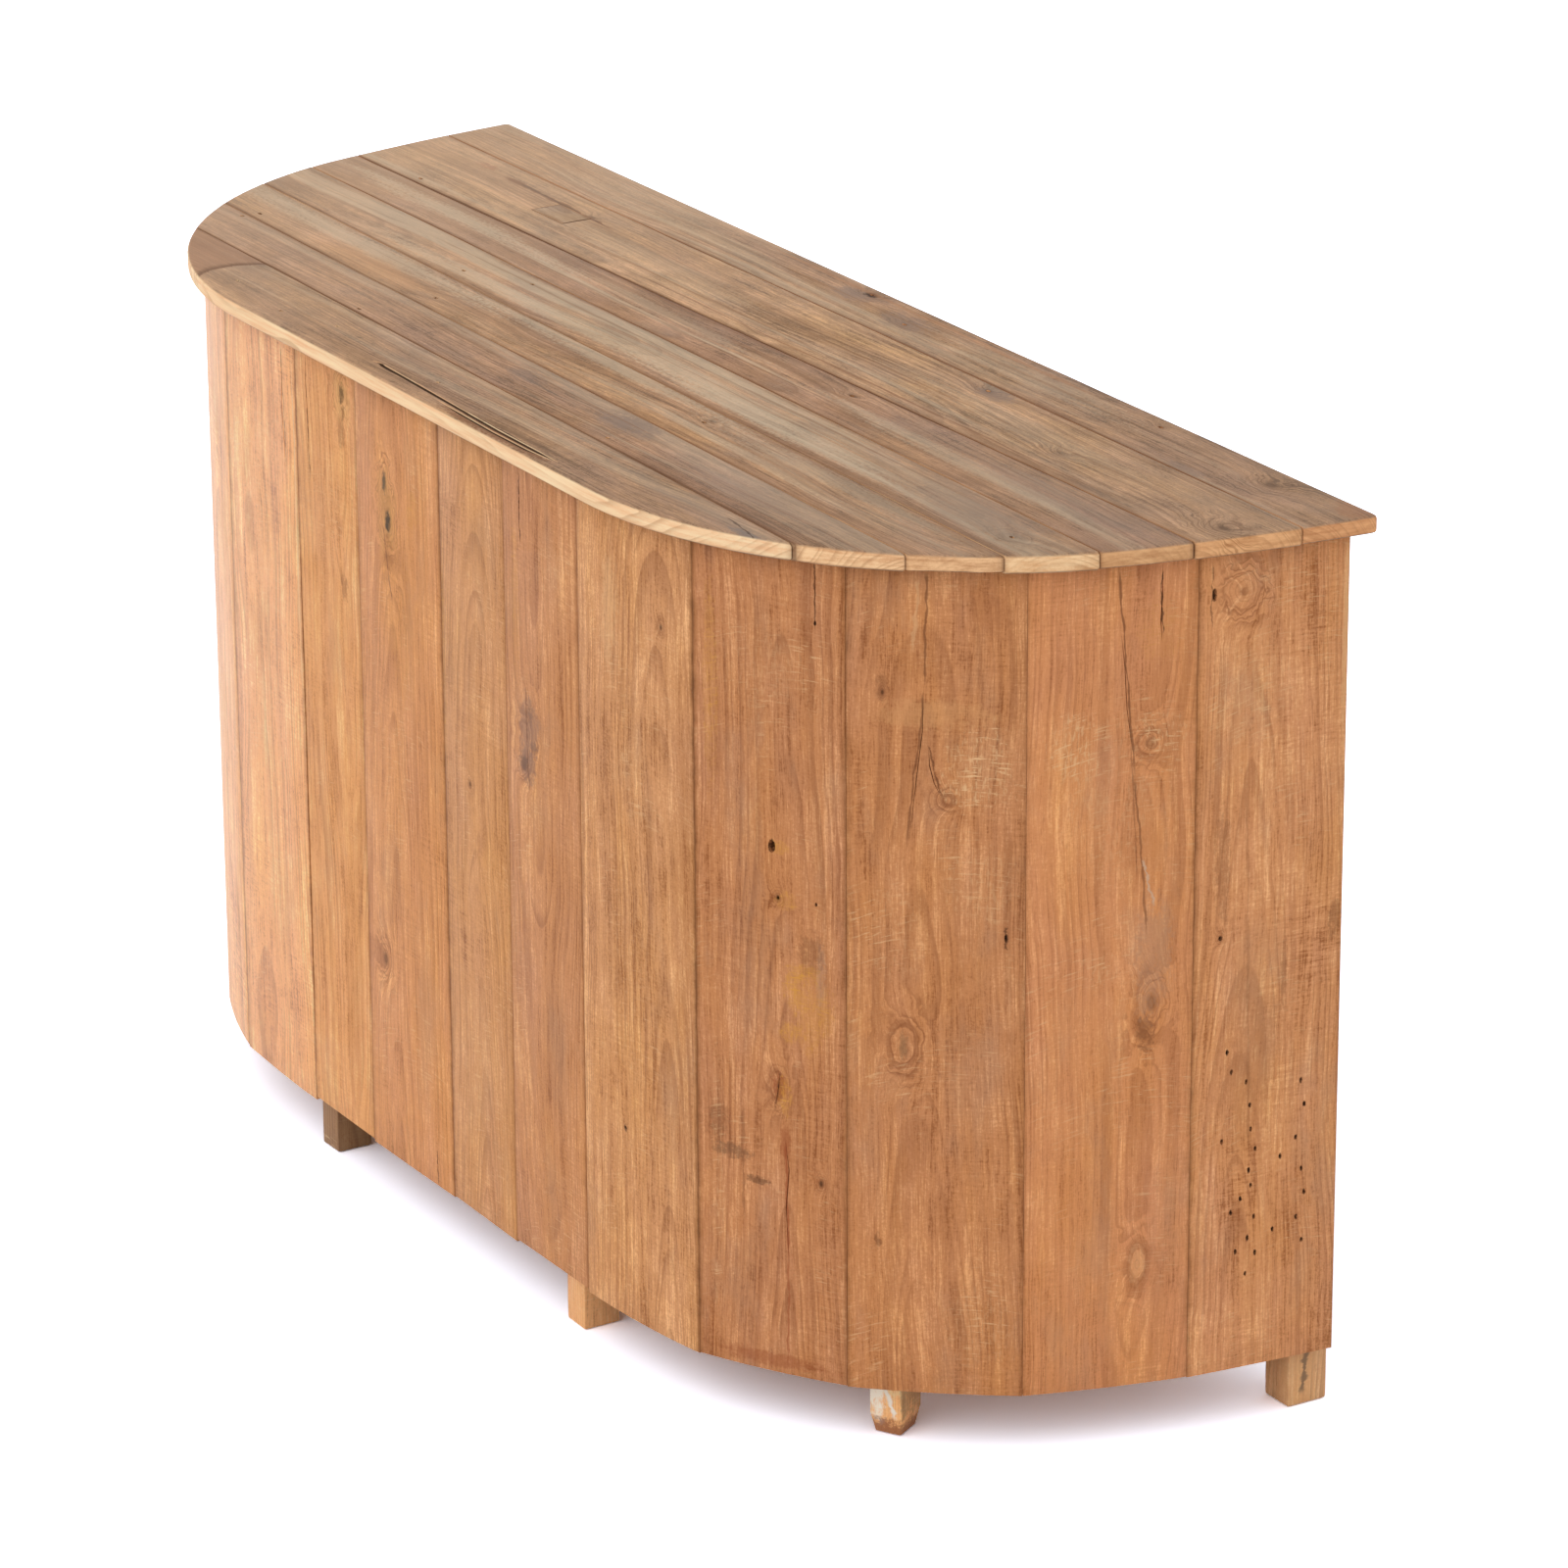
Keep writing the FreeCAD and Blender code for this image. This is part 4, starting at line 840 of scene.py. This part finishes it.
        shade=(1.04, 1.07, 1.17), heart=(-0.04, 0.04, 0.04),
    ),
}
# Worm holes, and the near-black drawn over each a little past its edge as painted shade.
WORM_HOLE = 0.0017, 0.0030, 0.005
WORM_HOLE_SHADE = 0.0024, 0.0045, SOOT_AND_PAINTED_SHADE, 0.9
for number, own in STAVES.items():
    traits = {**PLAIN_STAVE, **own}
    node = f"stave_{number:02d}"
    across, out, centre = upright_frame(node)
    board = across, out, UP, centre
    saw = None
    if traits["trim"]:
        rise, slant = traits["trim"][0], math.radians(traits["trim"][1])
        saw = centre + UP * (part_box(node)[0].z + rise), -UP * math.cos(slant) + across * math.sin(slant)
    stave = worn(node, "carcass", ease=0.0004, grain=UP, pitch=0.04, dents=0.0003, lump=0.05,
                 swell=0.00036, saw=saw)
    for width, depth, *places in traits["cracks"]:
        crack(stave, board, width, depth, *places)
    for seed, sizes in enumerate(traits["holes"], 1):
        hole(stave, board, *sizes, seed)
    for seed, place in enumerate(traits["worm_holes"], 1):
        hole(stave, board, *place, *WORM_HOLE, seed)
    half = max(abs((corner.co - centre).dot(across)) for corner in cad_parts[node].data.vertices)
    joints = traits["joint"], STAVES.get(number - 1, {}).get("joint", HIDDEN_JOINT)
    finish = Teak(node, across, out, UP, centre, number, traits["heart"], half, traits["knots"], joints,
                  traits["chatter"])
    finish.wood(*([min(value * share, BRIGHTEST) for value, share in zip(colour, traits["shade"])]
                  for colour in STAVE_WOOD), contrast=traits["contrast"], rings=0.32 * traits["contrast"])
    finish.use(scuff=0.4, grey=0.25, seam=0.62)
    finish.stains(*traits["stains"])
    # Painted shade: each hole is drawn near-black, a little past its edge.
    finish.stains(*((x, z, 1.2 * wide, 1.2 * high, SOOT_AND_PAINTED_SHADE, 0.95) for x, z, wide, high, _ in traits["holes"]))
    finish.scuffs(*traits["scuffs"])
    finish.lines(*traits["lines"])
    # Painted shade in the worm holes.
    finish.stains(*((*place, *WORM_HOLE_SHADE) for place in traits["worm_holes"]))
    stave.data.materials.append(finish.wax(0.52, ior=WAXED if number in WAXED_STAVES else DRY))

# Top: seven old planks edge to edge, sawn to a D and sanded, weathered greyer than the wall. One
# has a patch let in where a knot was cut out.
BONE, UMBER, SLATE = tone(206, 186, 158), tone(136, 98, 68), tone(142, 120, 106)
PLAIN_PLANK = dict(thin_end=0.0, knots=(), stains=(), lines=(), bands=(), grooves=())
# A plank has its middle colour, how strongly it is banded and the colours of its sawn rim. Its marks
# lie across the cabinet and along it, a thin end is how much was planed off below, and a groove has its
# width, depth and places.
PLANKS = {
    1: dict(
        middle=(173, 135, 106), banding=0.25, rim=((255, 225, 181), (242, 190, 144)),
        nails=((-0.318, -0.369), (-0.291, -0.273), (-0.298, -0.004), (-0.303, -0.515)),
        stains=((-0.338, 0.2, 0.012, 0.16, tone(128, 84, 54), 0.75),
                (-0.318, 0.24, 0.008, 0.12, tone(112, 84, 62), 0.5), (-0.285, 0.6, 0.02, 0.2, SLATE, 0.3),
                (-0.283, 0.70, 0.010, 0.06, tone(132, 120, 112), 0.85)),
        lines=((-0.322, -0.12, -0.331, 0.36, 0.003, tone(70, 50, 36), 0.8),
               (-0.30, -0.5, -0.29, 0.5, 0.0015, UMBER, 0.4),
               (-0.27, 0.615, -0.292, 0.775, 0.002, SOOT_AND_PAINTED_SHADE, 0.7)),
        grooves=((0.0060, 0.006, (-0.320, -0.115), (-0.321, -0.10), (-0.322, -0.06), (-0.3245, 0.02),
                  (-0.3275, 0.10), (-0.331, 0.20), (-0.3315, 0.30), (-0.3305, 0.344)),
                 (0.0050, 0.004, (-0.332, 0.05), (-0.336, 0.12), (-0.339, 0.20), (-0.3385, 0.28),
                  (-0.333, 0.338)),
                 (0.0050, 0.004, (-0.322, -0.125), (-0.3195, -0.11), (-0.320, -0.095), (-0.3215, -0.08))),
    ),
    2: dict(
        middle=(167, 129, 103), banding=0.3, rim=((255, 212, 164), (214, 158, 112)),
        nails=((-0.233, -0.326), (-0.163, -0.778), (-0.237, 0.293)),
        stains=((-0.19, 0.26, 0.03, 0.07, SLATE, 0.75), (-0.195, 0.03, 0.02, 0.05, SLATE, 0.5),
                (-0.215, -0.62, 0.02, 0.05, UMBER, 0.35), (-0.21, 0.55, 0.03, 0.15, SLATE, 0.35)),
        lines=((-0.18, -0.7, -0.19, 0.4, 0.0016, UMBER, 0.45),
               (-0.22, -0.2, -0.23, 0.7, 0.0014, UMBER, 0.5)),
    ),
    3: dict(
        middle=(179, 138, 106), banding=0.45, rim=((250, 202, 153), (200, 148, 104)), thin_end=0.0035,
        nails=((-0.139, -0.775), (-0.131, -0.317), (-0.112, 0.30)),
        knots=((-0.102, 0.302, 0.005, 2.2, 0.7),),
        stains=((-0.13, -0.50, 0.03, 0.16, tone(190, 140, 98), 0.5), (-0.13, 0.5, 0.02, 0.2, UMBER, 0.3)),
        lines=((-0.14, -0.9, -0.145, 0.2, 0.002, UMBER, 0.45),
               (-0.095, -0.6, -0.10, 0.6, 0.0016, UMBER, 0.4)),
        bands=((-0.095, -0.60, 0.022, 0.45, 0.75), (-0.085, 0.0, 0.018, 0.4, 0.7),
               (-0.10, 0.55, 0.02, 0.35, 0.5)),
    ),
    4: dict(
        middle=(173, 134, 104), banding=0.5, rim=((255, 216, 168), (224, 170, 120)),
        nails=((-0.001, -0.306), (-0.044, -0.405), (-0.04, 0.847)),
        knots=((-0.039, 0.847, 0.009, 1.7, 0.7),),
        stains=((-0.03, 0.75, 0.04, 0.15, SLATE, 0.35),),
        lines=((0.024, -0.25, 0.025, 0.50, 0.0035, tone(98, 66, 44), 0.85),
               (0.0, -0.6, -0.005, 0.8, 0.003, UMBER, 0.5),
               (-0.02, -0.8, -0.025, 0.5, 0.0016, UMBER, 0.4)),
        bands=((-0.045, -0.25, 0.016, 0.5, 0.6), (-0.05, 0.35, 0.02, 0.35, 0.7),
               (-0.045, 0.8, 0.02, 0.2, 0.4)),
    ),
    5: dict(
        middle=(175, 135, 107), banding=0.5, rim=((233, 181, 130), (196, 142, 96)), thin_end=0.0012,
        nails=((0.088, 0.303),),
        knots=((0.088, 0.303, 0.005, 2.0, 0.7),),
        stains=((0.08, 0.75, 0.03, 0.2, SLATE, 0.35),),
        lines=((0.05, -0.6, 0.055, 0.6, 0.003, UMBER, 0.5), (0.085, -0.2, 0.09, 0.8, 0.0016, UMBER, 0.4)),
        bands=((0.07, -0.65, 0.02, 0.35, 0.8), (0.075, -0.1, 0.014, 0.3, 0.4),
               (0.06, 0.6, 0.02, 0.35, 0.5)),
    ),
    6: dict(
        middle=(187, 147, 114), banding=0.42, rim=((244, 187, 134), (204, 146, 98)),
        nails=((0.116, -0.814), (0.234, 0.372)),
        knots=((0.234, 0.372, 0.008, 2.0, 0.7), (0.175, 0.618, 0.007, 1.8, 0.6),
               (0.176, 0.945, 0.012, 1.5, 0.6), (0.212, -0.53, 0.006, 2.0, 0.6)),
        stains=((0.22, -0.82, 0.01, 0.03, RUST, 0.5), (0.234, 0.39, 0.02, 0.04, SLATE, 0.6)),
        lines=((0.216, -0.77, 0.206, -0.455, 0.0060, tone(112, 66, 36), 0.95),
               (0.216, -0.73, 0.206, -0.47, 0.0026, tone(74, 44, 26), 0.9),
               (0.15, -1.0, 0.15, 0.3, 0.004, UMBER, 0.5), (0.18, 0.0, 0.19, 0.9, 0.003, UMBER, 0.45),
               (0.13, -0.3, 0.135, 0.8, 0.003, tone(120, 80, 56), 0.5)),
        bands=((0.18, -0.3, 0.03, 0.3, 0.3), (0.19, 0.5, 0.03, 0.3, 0.3)),
    ),
    7: dict(
        middle=(173, 135, 107), banding=0.36, rim=((237, 176, 124), (202, 140, 94)), thin_end=0.001,
        nails=((0.330, -0.042), (0.296, 0.087), (0.326, 0.598)),
        knots=((0.329, -0.042, 0.009, 1.8, 1.0), (0.296, 0.087, 0.006, 1.8, 0.6),
               (0.309, 0.845, 0.012, 1.6, 0.6), (0.326, 0.374, 0.004, 1.6, 0.7),
               (0.326, 0.598, 0.004, 1.6, 0.7), (0.330, 0.858, 0.004, 1.4, 0.7)),
        # The near-black stain over the knot hole is painted shade in it.
        stains=((0.313, -0.06, 0.022, 0.05, SLATE, 0.7), (0.329, -0.042, 0.008, 0.016, SOOT_AND_PAINTED_SHADE, 0.9),
                (0.30, 0.08, 0.03, 0.06, SLATE, 0.5), (0.261, 0.746, 0.012, 0.05, SLATE, 0.6),
                (0.34, 0.97, 0.03, 0.05, tone(170, 110, 74), 0.45)),
        lines=((0.30, -0.7, 0.31, 0.7, 0.004, UMBER, 0.35),
               (0.335, -0.3, 0.33, 0.5, 0.006, tone(176, 124, 86), 0.4)),
        bands=((0.30, -0.5, 0.03, 0.3, 0.35), (0.31, 0.35, 0.03, 0.25, 0.35)),
    ),
}
# The seams between the planks: across the cabinet at its left end and at its right end, and how dark.
SEAMS = ((-0.233, -0.260, 0.6), (-0.152, -0.172, 0.45), (-0.067, -0.083, 0.4), (0.024, 0.014, 0.45),
         (0.100, 0.122, 0.7), (0.251, 0.252, 0.5))
PAST_THE_TOP = 2.2
# Nail holes, and the dark brown drawn over each a little past its edge as painted shade.
NAIL_HOLE = 0.0024, 0.0042, 0.004
NAIL_HOLE_SHADE = 0.003, 0.005, tone(78, 54, 40), 0.85
PLANK_DENTS = 0.0007
THIN_FROM, LOWER_FACE = 0.74, 0.002
for number, own in PLANKS.items():
    traits = {**PLAIN_PLANK, **own}
    node = f"top_plank_{number}"
    plank = worn(node, "carcass", ease=0.0016, grain=ALONG, pitch=0.06, dents=PLANK_DENTS,
                 lump=0.07, swell=0.0002)
    low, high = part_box(node)
    if traits["thin_end"]:
        bpy.ops.object.mode_set(mode="EDIT")
        bpy.ops.mesh.select_all(action="DESELECT")
        bpy.ops.object.mode_set(mode="OBJECT")
        for corner in plank.data.vertices:
            corner.select = corner.co.z < low.z + LOWER_FACE and corner.co.x > THIN_FROM
        bpy.ops.object.mode_set(mode="EDIT")
        bpy.ops.transform.translate(value=(0, 0, traits["thin_end"]))
        bpy.ops.object.mode_set(mode="OBJECT")
    origin = Vector((0, 0, high.z))
    board = ACROSS, UP, ALONG, origin
    for width, depth, *places in traits["grooves"]:
        crack(plank, board, width, depth, *places)
    for seed, place in enumerate(traits["nails"], 1):
        hole(plank, board, *place, *NAIL_HOLE, seed)
    heart = ((low + high) / 2).y + 0.12 - 0.03 * number, 0.07, 0.02
    finish = Teak(node, *board, seed=20 + number, heart=heart, knots=traits["knots"])
    middle = traits["middle"]
    finish.wood([value * 0.72 for value in middle], middle, [min(value * 1.18, 255) for value in middle],
                (104, 74, 52), contrast=1.9, rings=0.4)
    finish.bands(BONE, UMBER, traits["banding"])
    finish.use(scuff=0.15, grey=0.35, pale=tone(206, 182, 150), ash=tone(150, 132, 118))
    finish.stains(*((*place, BONE, share * 0.65) for *place, share in traits["bands"]))
    finish.stains(*traits["stains"])
    finish.lines(*traits["lines"])
    # Paler towards one end of the plank and greyer towards the other.
    finish.tone_along_length(start=0.1, stop=-0.95, colour=tone(216, 184, 154), amount=0.35)
    finish.tone_along_length(start=0.2, stop=0.95, colour=tone(138, 114, 96), amount=0.3)
    if number == 1:
        finish.dark_end(across=-0.289, along=-0.575, curve=8.5, colour=tone(166, 124, 96),
                        edge=tone(100, 74, 56))
    finish.rim(*(tone(*colour) for colour in traits["rim"]), tone(150, 98, 60))
    for left, right, share in SEAMS[max(number - 2, 0):number]:
        step = (right - left) * 0.6
        run = left - step, -PAST_THE_TOP, right + step, PAST_THE_TOP
        # A brown band along the seam, with a thin dark core that is painted shade in the gap.
        finish.lines((*run, 0.007, tone(134, 90, 60), 0.6 * share), (*run, 0.0026, tone(84, 54, 38), share))
    # Painted shade in this plank's grooves, near-black wherever they lie deeper than the dents.
    if traits["grooves"]:
        finish.shade_in_cuts(PLANK_DENTS, low=-0.3435, high=-0.31, start=-0.14, stop=0.36)
    # Painted shade in the nail holes.
    finish.stains(*((*place, *NAIL_HOLE_SHADE) for place in traits["nails"]))
    plank.data.materials.append(finish.wax(0.6, ior=DRY))
patch = worn("top_patch", "carcass", ease=0.0006, grain=ALONG, pitch=0.03, dents=0.0004)
low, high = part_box("top_patch")
finish = Teak("top_patch", ACROSS, UP, ALONG, (low + high) / 2, seed=29, heart=(0.02, 0.03, 0.02),
              half=0.022)
finish.wood((140, 112, 90), (178, 146, 120), (196, 166, 140), (112, 82, 60))
finish.use(scuff=0.2, grey=0.3, seam=0.3)
end = (high.x - low.x) / 2
finish.stains(*((0.0, place, 0.026, 0.003, tone(84, 58, 42), 0.85) for place in (-end, end)))
patch.data.materials.append(finish.wax(0.6, ior=DRY))

# Doors: two ledged doors that close flush in the back and hang on the outer posts. Each is four
# upright boards with two ledges nailed across them on the inside.
for side, sign in (("left", -1), ("right", 1)):
    for number, (node, grain) in enumerate(((f"{side}_door_boards", UP), (f"{side}_door_ledges", ALONG))):
        board = worn(node, f"{side}_door", ease=0.0015, grain=grain, pitch=0.1, dents=0.0008)
        low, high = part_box(node)
        width = high.x - low.x
        upright = grain is UP
        across, out = (-ALONG, ACROSS) if upright else (UP, -ACROSS)
        finish = Teak(node, across, out, grain, (low + high) / 2 * Vector((1, 1, 0)),
                      seed=95 + number + 2 * sign, heart=(0.03 * sign, 0.11, 0.015), half=width / 8,
                      chatter=0.6, boards=(-width / 2, width / 4) if upright else None)
        finish.wood((146, 92, 58), (188, 130, 88), (214, 158, 112), (118, 72, 42), contrast=1.25, rings=0.3)
        finish.use(scuff=0.45, grey=0.35, seam=0.4 if upright else 0.0)
        board.data.materials.append(finish.wax(0.55))

# Hinges and knobs: dull steel surface hinges with loose pins and slotted screws, and turned knobs of
# darker wood.
steel = bpy.data.materials.new("hinge_steel")
steel.use_nodes = True
tree = steel.node_tree
shader = tree.nodes["Principled BSDF"]
shader.inputs["Metallic"].default_value = 1.0
dull = mottle(wire(tree, "TexCoord", out="Object"), (180, 180, 180), 4, 0.65)
rubbed = blend(soft_step(dull, 0.35, 0.65), tone(84, 76, 68), tone(134, 128, 120))
rubbed.into(shader.inputs["Base Color"])
soft_step(dull, 0.3, 0.7, 0.36, 0.6).into(shader.inputs["Roughness"])
for node in ("left_door_hinge_leaves", "right_door_hinge_leaves", "frame_hinge_leaves", "hinge_pins"):
    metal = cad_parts[node]
    metal.data.materials.clear()
    metal.data.materials.append(steel)

SCREW_RADIUS, SCREW_HEIGHT, SCREW_DOME = 0.0036, 0.0022, 0.0007
SCREW_SLOT = 0.009, 0.0016, 0.0009


def screw_head():
    """A slotted screw head, domed a little, with its slot sawn across."""
    bpy.ops.object.select_all(action="DESELECT")
    bpy.ops.mesh.primitive_cylinder_add(vertices=24, radius=SCREW_RADIUS, depth=SCREW_HEIGHT,
                                        rotation=(math.radians(90), 0, 0))
    head = bpy.context.object
    bpy.ops.object.transform_apply(location=True, rotation=True, scale=True)
    rounding = head.modifiers.new("dome", "BEVEL")
    rounding.width, rounding.segments = SCREW_DOME, 3
    bpy.ops.object.modifier_apply(modifier=rounding.name)
    bpy.ops.mesh.primitive_cube_add(size=1, location=(0, SCREW_HEIGHT / 2, 0), scale=SCREW_SLOT)
    saw = bpy.context.object
    bpy.ops.object.transform_apply(location=True, rotation=True, scale=True)
    cut_out(head, saw, (ALONG, ACROSS, UP, Vector()))
    return head


HINGE_SCREWS = 0.226, 0.268, 0.860, 0.902
SCREW_INSET = 0.011
first = screw_head()
for name, body, leaves in (
    ("frame", "carcass", (("frame_hinge_leaves", -1, True), ("frame_hinge_leaves", 1, True))),
    ("left_door", "left_door", (("left_door_hinge_leaves", -1, False),)),
    ("right_door", "right_door", (("right_door_hinge_leaves", 1, False),)),
):
    screws = []
    for node, side, fixed in leaves:
        low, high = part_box(node)
        near, far = sorted((abs(low.x), abs(high.x)))
        edge = far - SCREW_INSET if fixed else near + SCREW_INSET
        plate = ALONG, ACROSS, UP, Vector((0, low.y, 0))
        for number, height in enumerate(HINGE_SCREWS):
            screw = first.copy()
            screw.data = first.data.copy()
            bpy.context.collection.objects.link(screw)
            depth = low.y + face_depth(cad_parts[node], plate, side * edge, height)
            screw.rotation_euler = (0, math.radians(25 + 70 * number), 0)
            screw.location = (side * edge, depth, height)
            screws.append(screw)
    bpy.ops.object.select_all(action="DESELECT")
    for screw in screws:
        screw.select_set(True)
    bpy.context.view_layer.objects.active = screws[0]
    bpy.ops.object.transform_apply(location=True, rotation=True, scale=True)
    bpy.ops.object.join()
    joined = bpy.context.object
    joined.name = f"{name}_hinge_screws"
    bpy.ops.object.shade_smooth_by_angle(angle=SMOOTH_ANGLE)
    joined.data.materials.append(steel)
    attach(joined, body)
bpy.data.objects.remove(first)
for side in ("left", "right"):
    low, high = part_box(f"{side}_knob")
    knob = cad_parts[f"{side}_knob"]
    finish = Teak(f"{side}_knob", ALONG, UP, -ACROSS, (low + high) / 2, seed=110, heart=(0.0, 0.02, 0.1))
    finish.wood((84, 50, 28), (120, 74, 42), (150, 98, 60), (60, 34, 18))
    finish.use(scuff=0.2, grey=0.2)
    knob.data.materials.clear()
    knob.data.materials.append(finish.wax(0.4, relief=0.2))

# Studio: a sheet of white paper for the floor, lit by one broad light from the front left and an even
# sky. The paper and the sky look white to the camera and give less light than they show.
bpy.ops.object.select_all(action="DESELECT")
bpy.ops.mesh.primitive_plane_add(size=60, location=(0, 0, 0))
floor = bpy.context.object
floor.name = "studio_floor"
paper = bpy.data.materials.new("studio_paper")
paper.use_nodes = True
tree = paper.node_tree


def seen_rays(tree):
    """One where the background is looked at, straight or in a reflection, and nought for its light."""
    rays = tree.nodes.new("ShaderNodeLightPath").outputs
    kinds = "Camera", "Glossy", "Transmission"
    straight, shiny, through = (Value(rays[f"Is {kind} Ray"]) for kind in kinds)
    return maths("MAXIMUM", straight, maths("MAXIMUM", shiny, through))


plain = wire(tree, "BsdfDiffuse", (0.8, 0.8, 0.8, 1))
lifted = wire(tree, "BsdfDiffuse", blend(seen_rays(tree), (0, 0, 0, 1), (1.0, 1.07, 1.28, 1)))
wire(tree, "AddShader", plain, lifted).into(tree.nodes["Material Output"].inputs["Surface"])
floor.data.materials.append(paper)

world = bpy.data.worlds.new("studio_sky")
bpy.context.scene.world = world
world.use_nodes = True
tree = world.node_tree
strength = seen_rays(tree) * 0.2 + 0.8
strength.into(tree.nodes["Background"].inputs["Strength"])
tree.nodes["Background"].inputs["Color"].default_value = (1, 1, 1, 1)

key = bpy.data.objects.new("key_light", bpy.data.lights.new("key_light", "SUN"))
bpy.context.collection.objects.link(key)
key.data.energy, key.data.angle = 0.9, math.radians(60)
key.rotation_euler = (math.radians(50), 0, math.radians(10))

AZIMUTH, ELEVATION, ROLL = math.radians(58.97), math.radians(20.28), math.radians(-0.33)
AIM, DISTANCE = Vector((0, 0.174, 0.497)), 8.798
back = Vector((math.sin(AZIMUTH) * math.cos(ELEVATION), -math.cos(AZIMUTH) * math.cos(ELEVATION),
               math.sin(ELEVATION)))
camera = bpy.data.objects.new("camera", bpy.data.cameras.new("camera"))
bpy.context.collection.objects.link(camera)
camera.data.lens, camera.data.sensor_width = 162.3, 36
camera.data.clip_end = 200
camera.location = AIM + DISTANCE * back
camera.rotation_mode = "QUATERNION"
level = (-back).to_track_quat("-Z", "Y")
camera.rotation_quaternion = level @ Matrix.Rotation(ROLL, 3, "Z").to_quaternion()
bpy.context.scene.camera = camera
bpy.context.scene.view_settings.view_transform = "Standard"
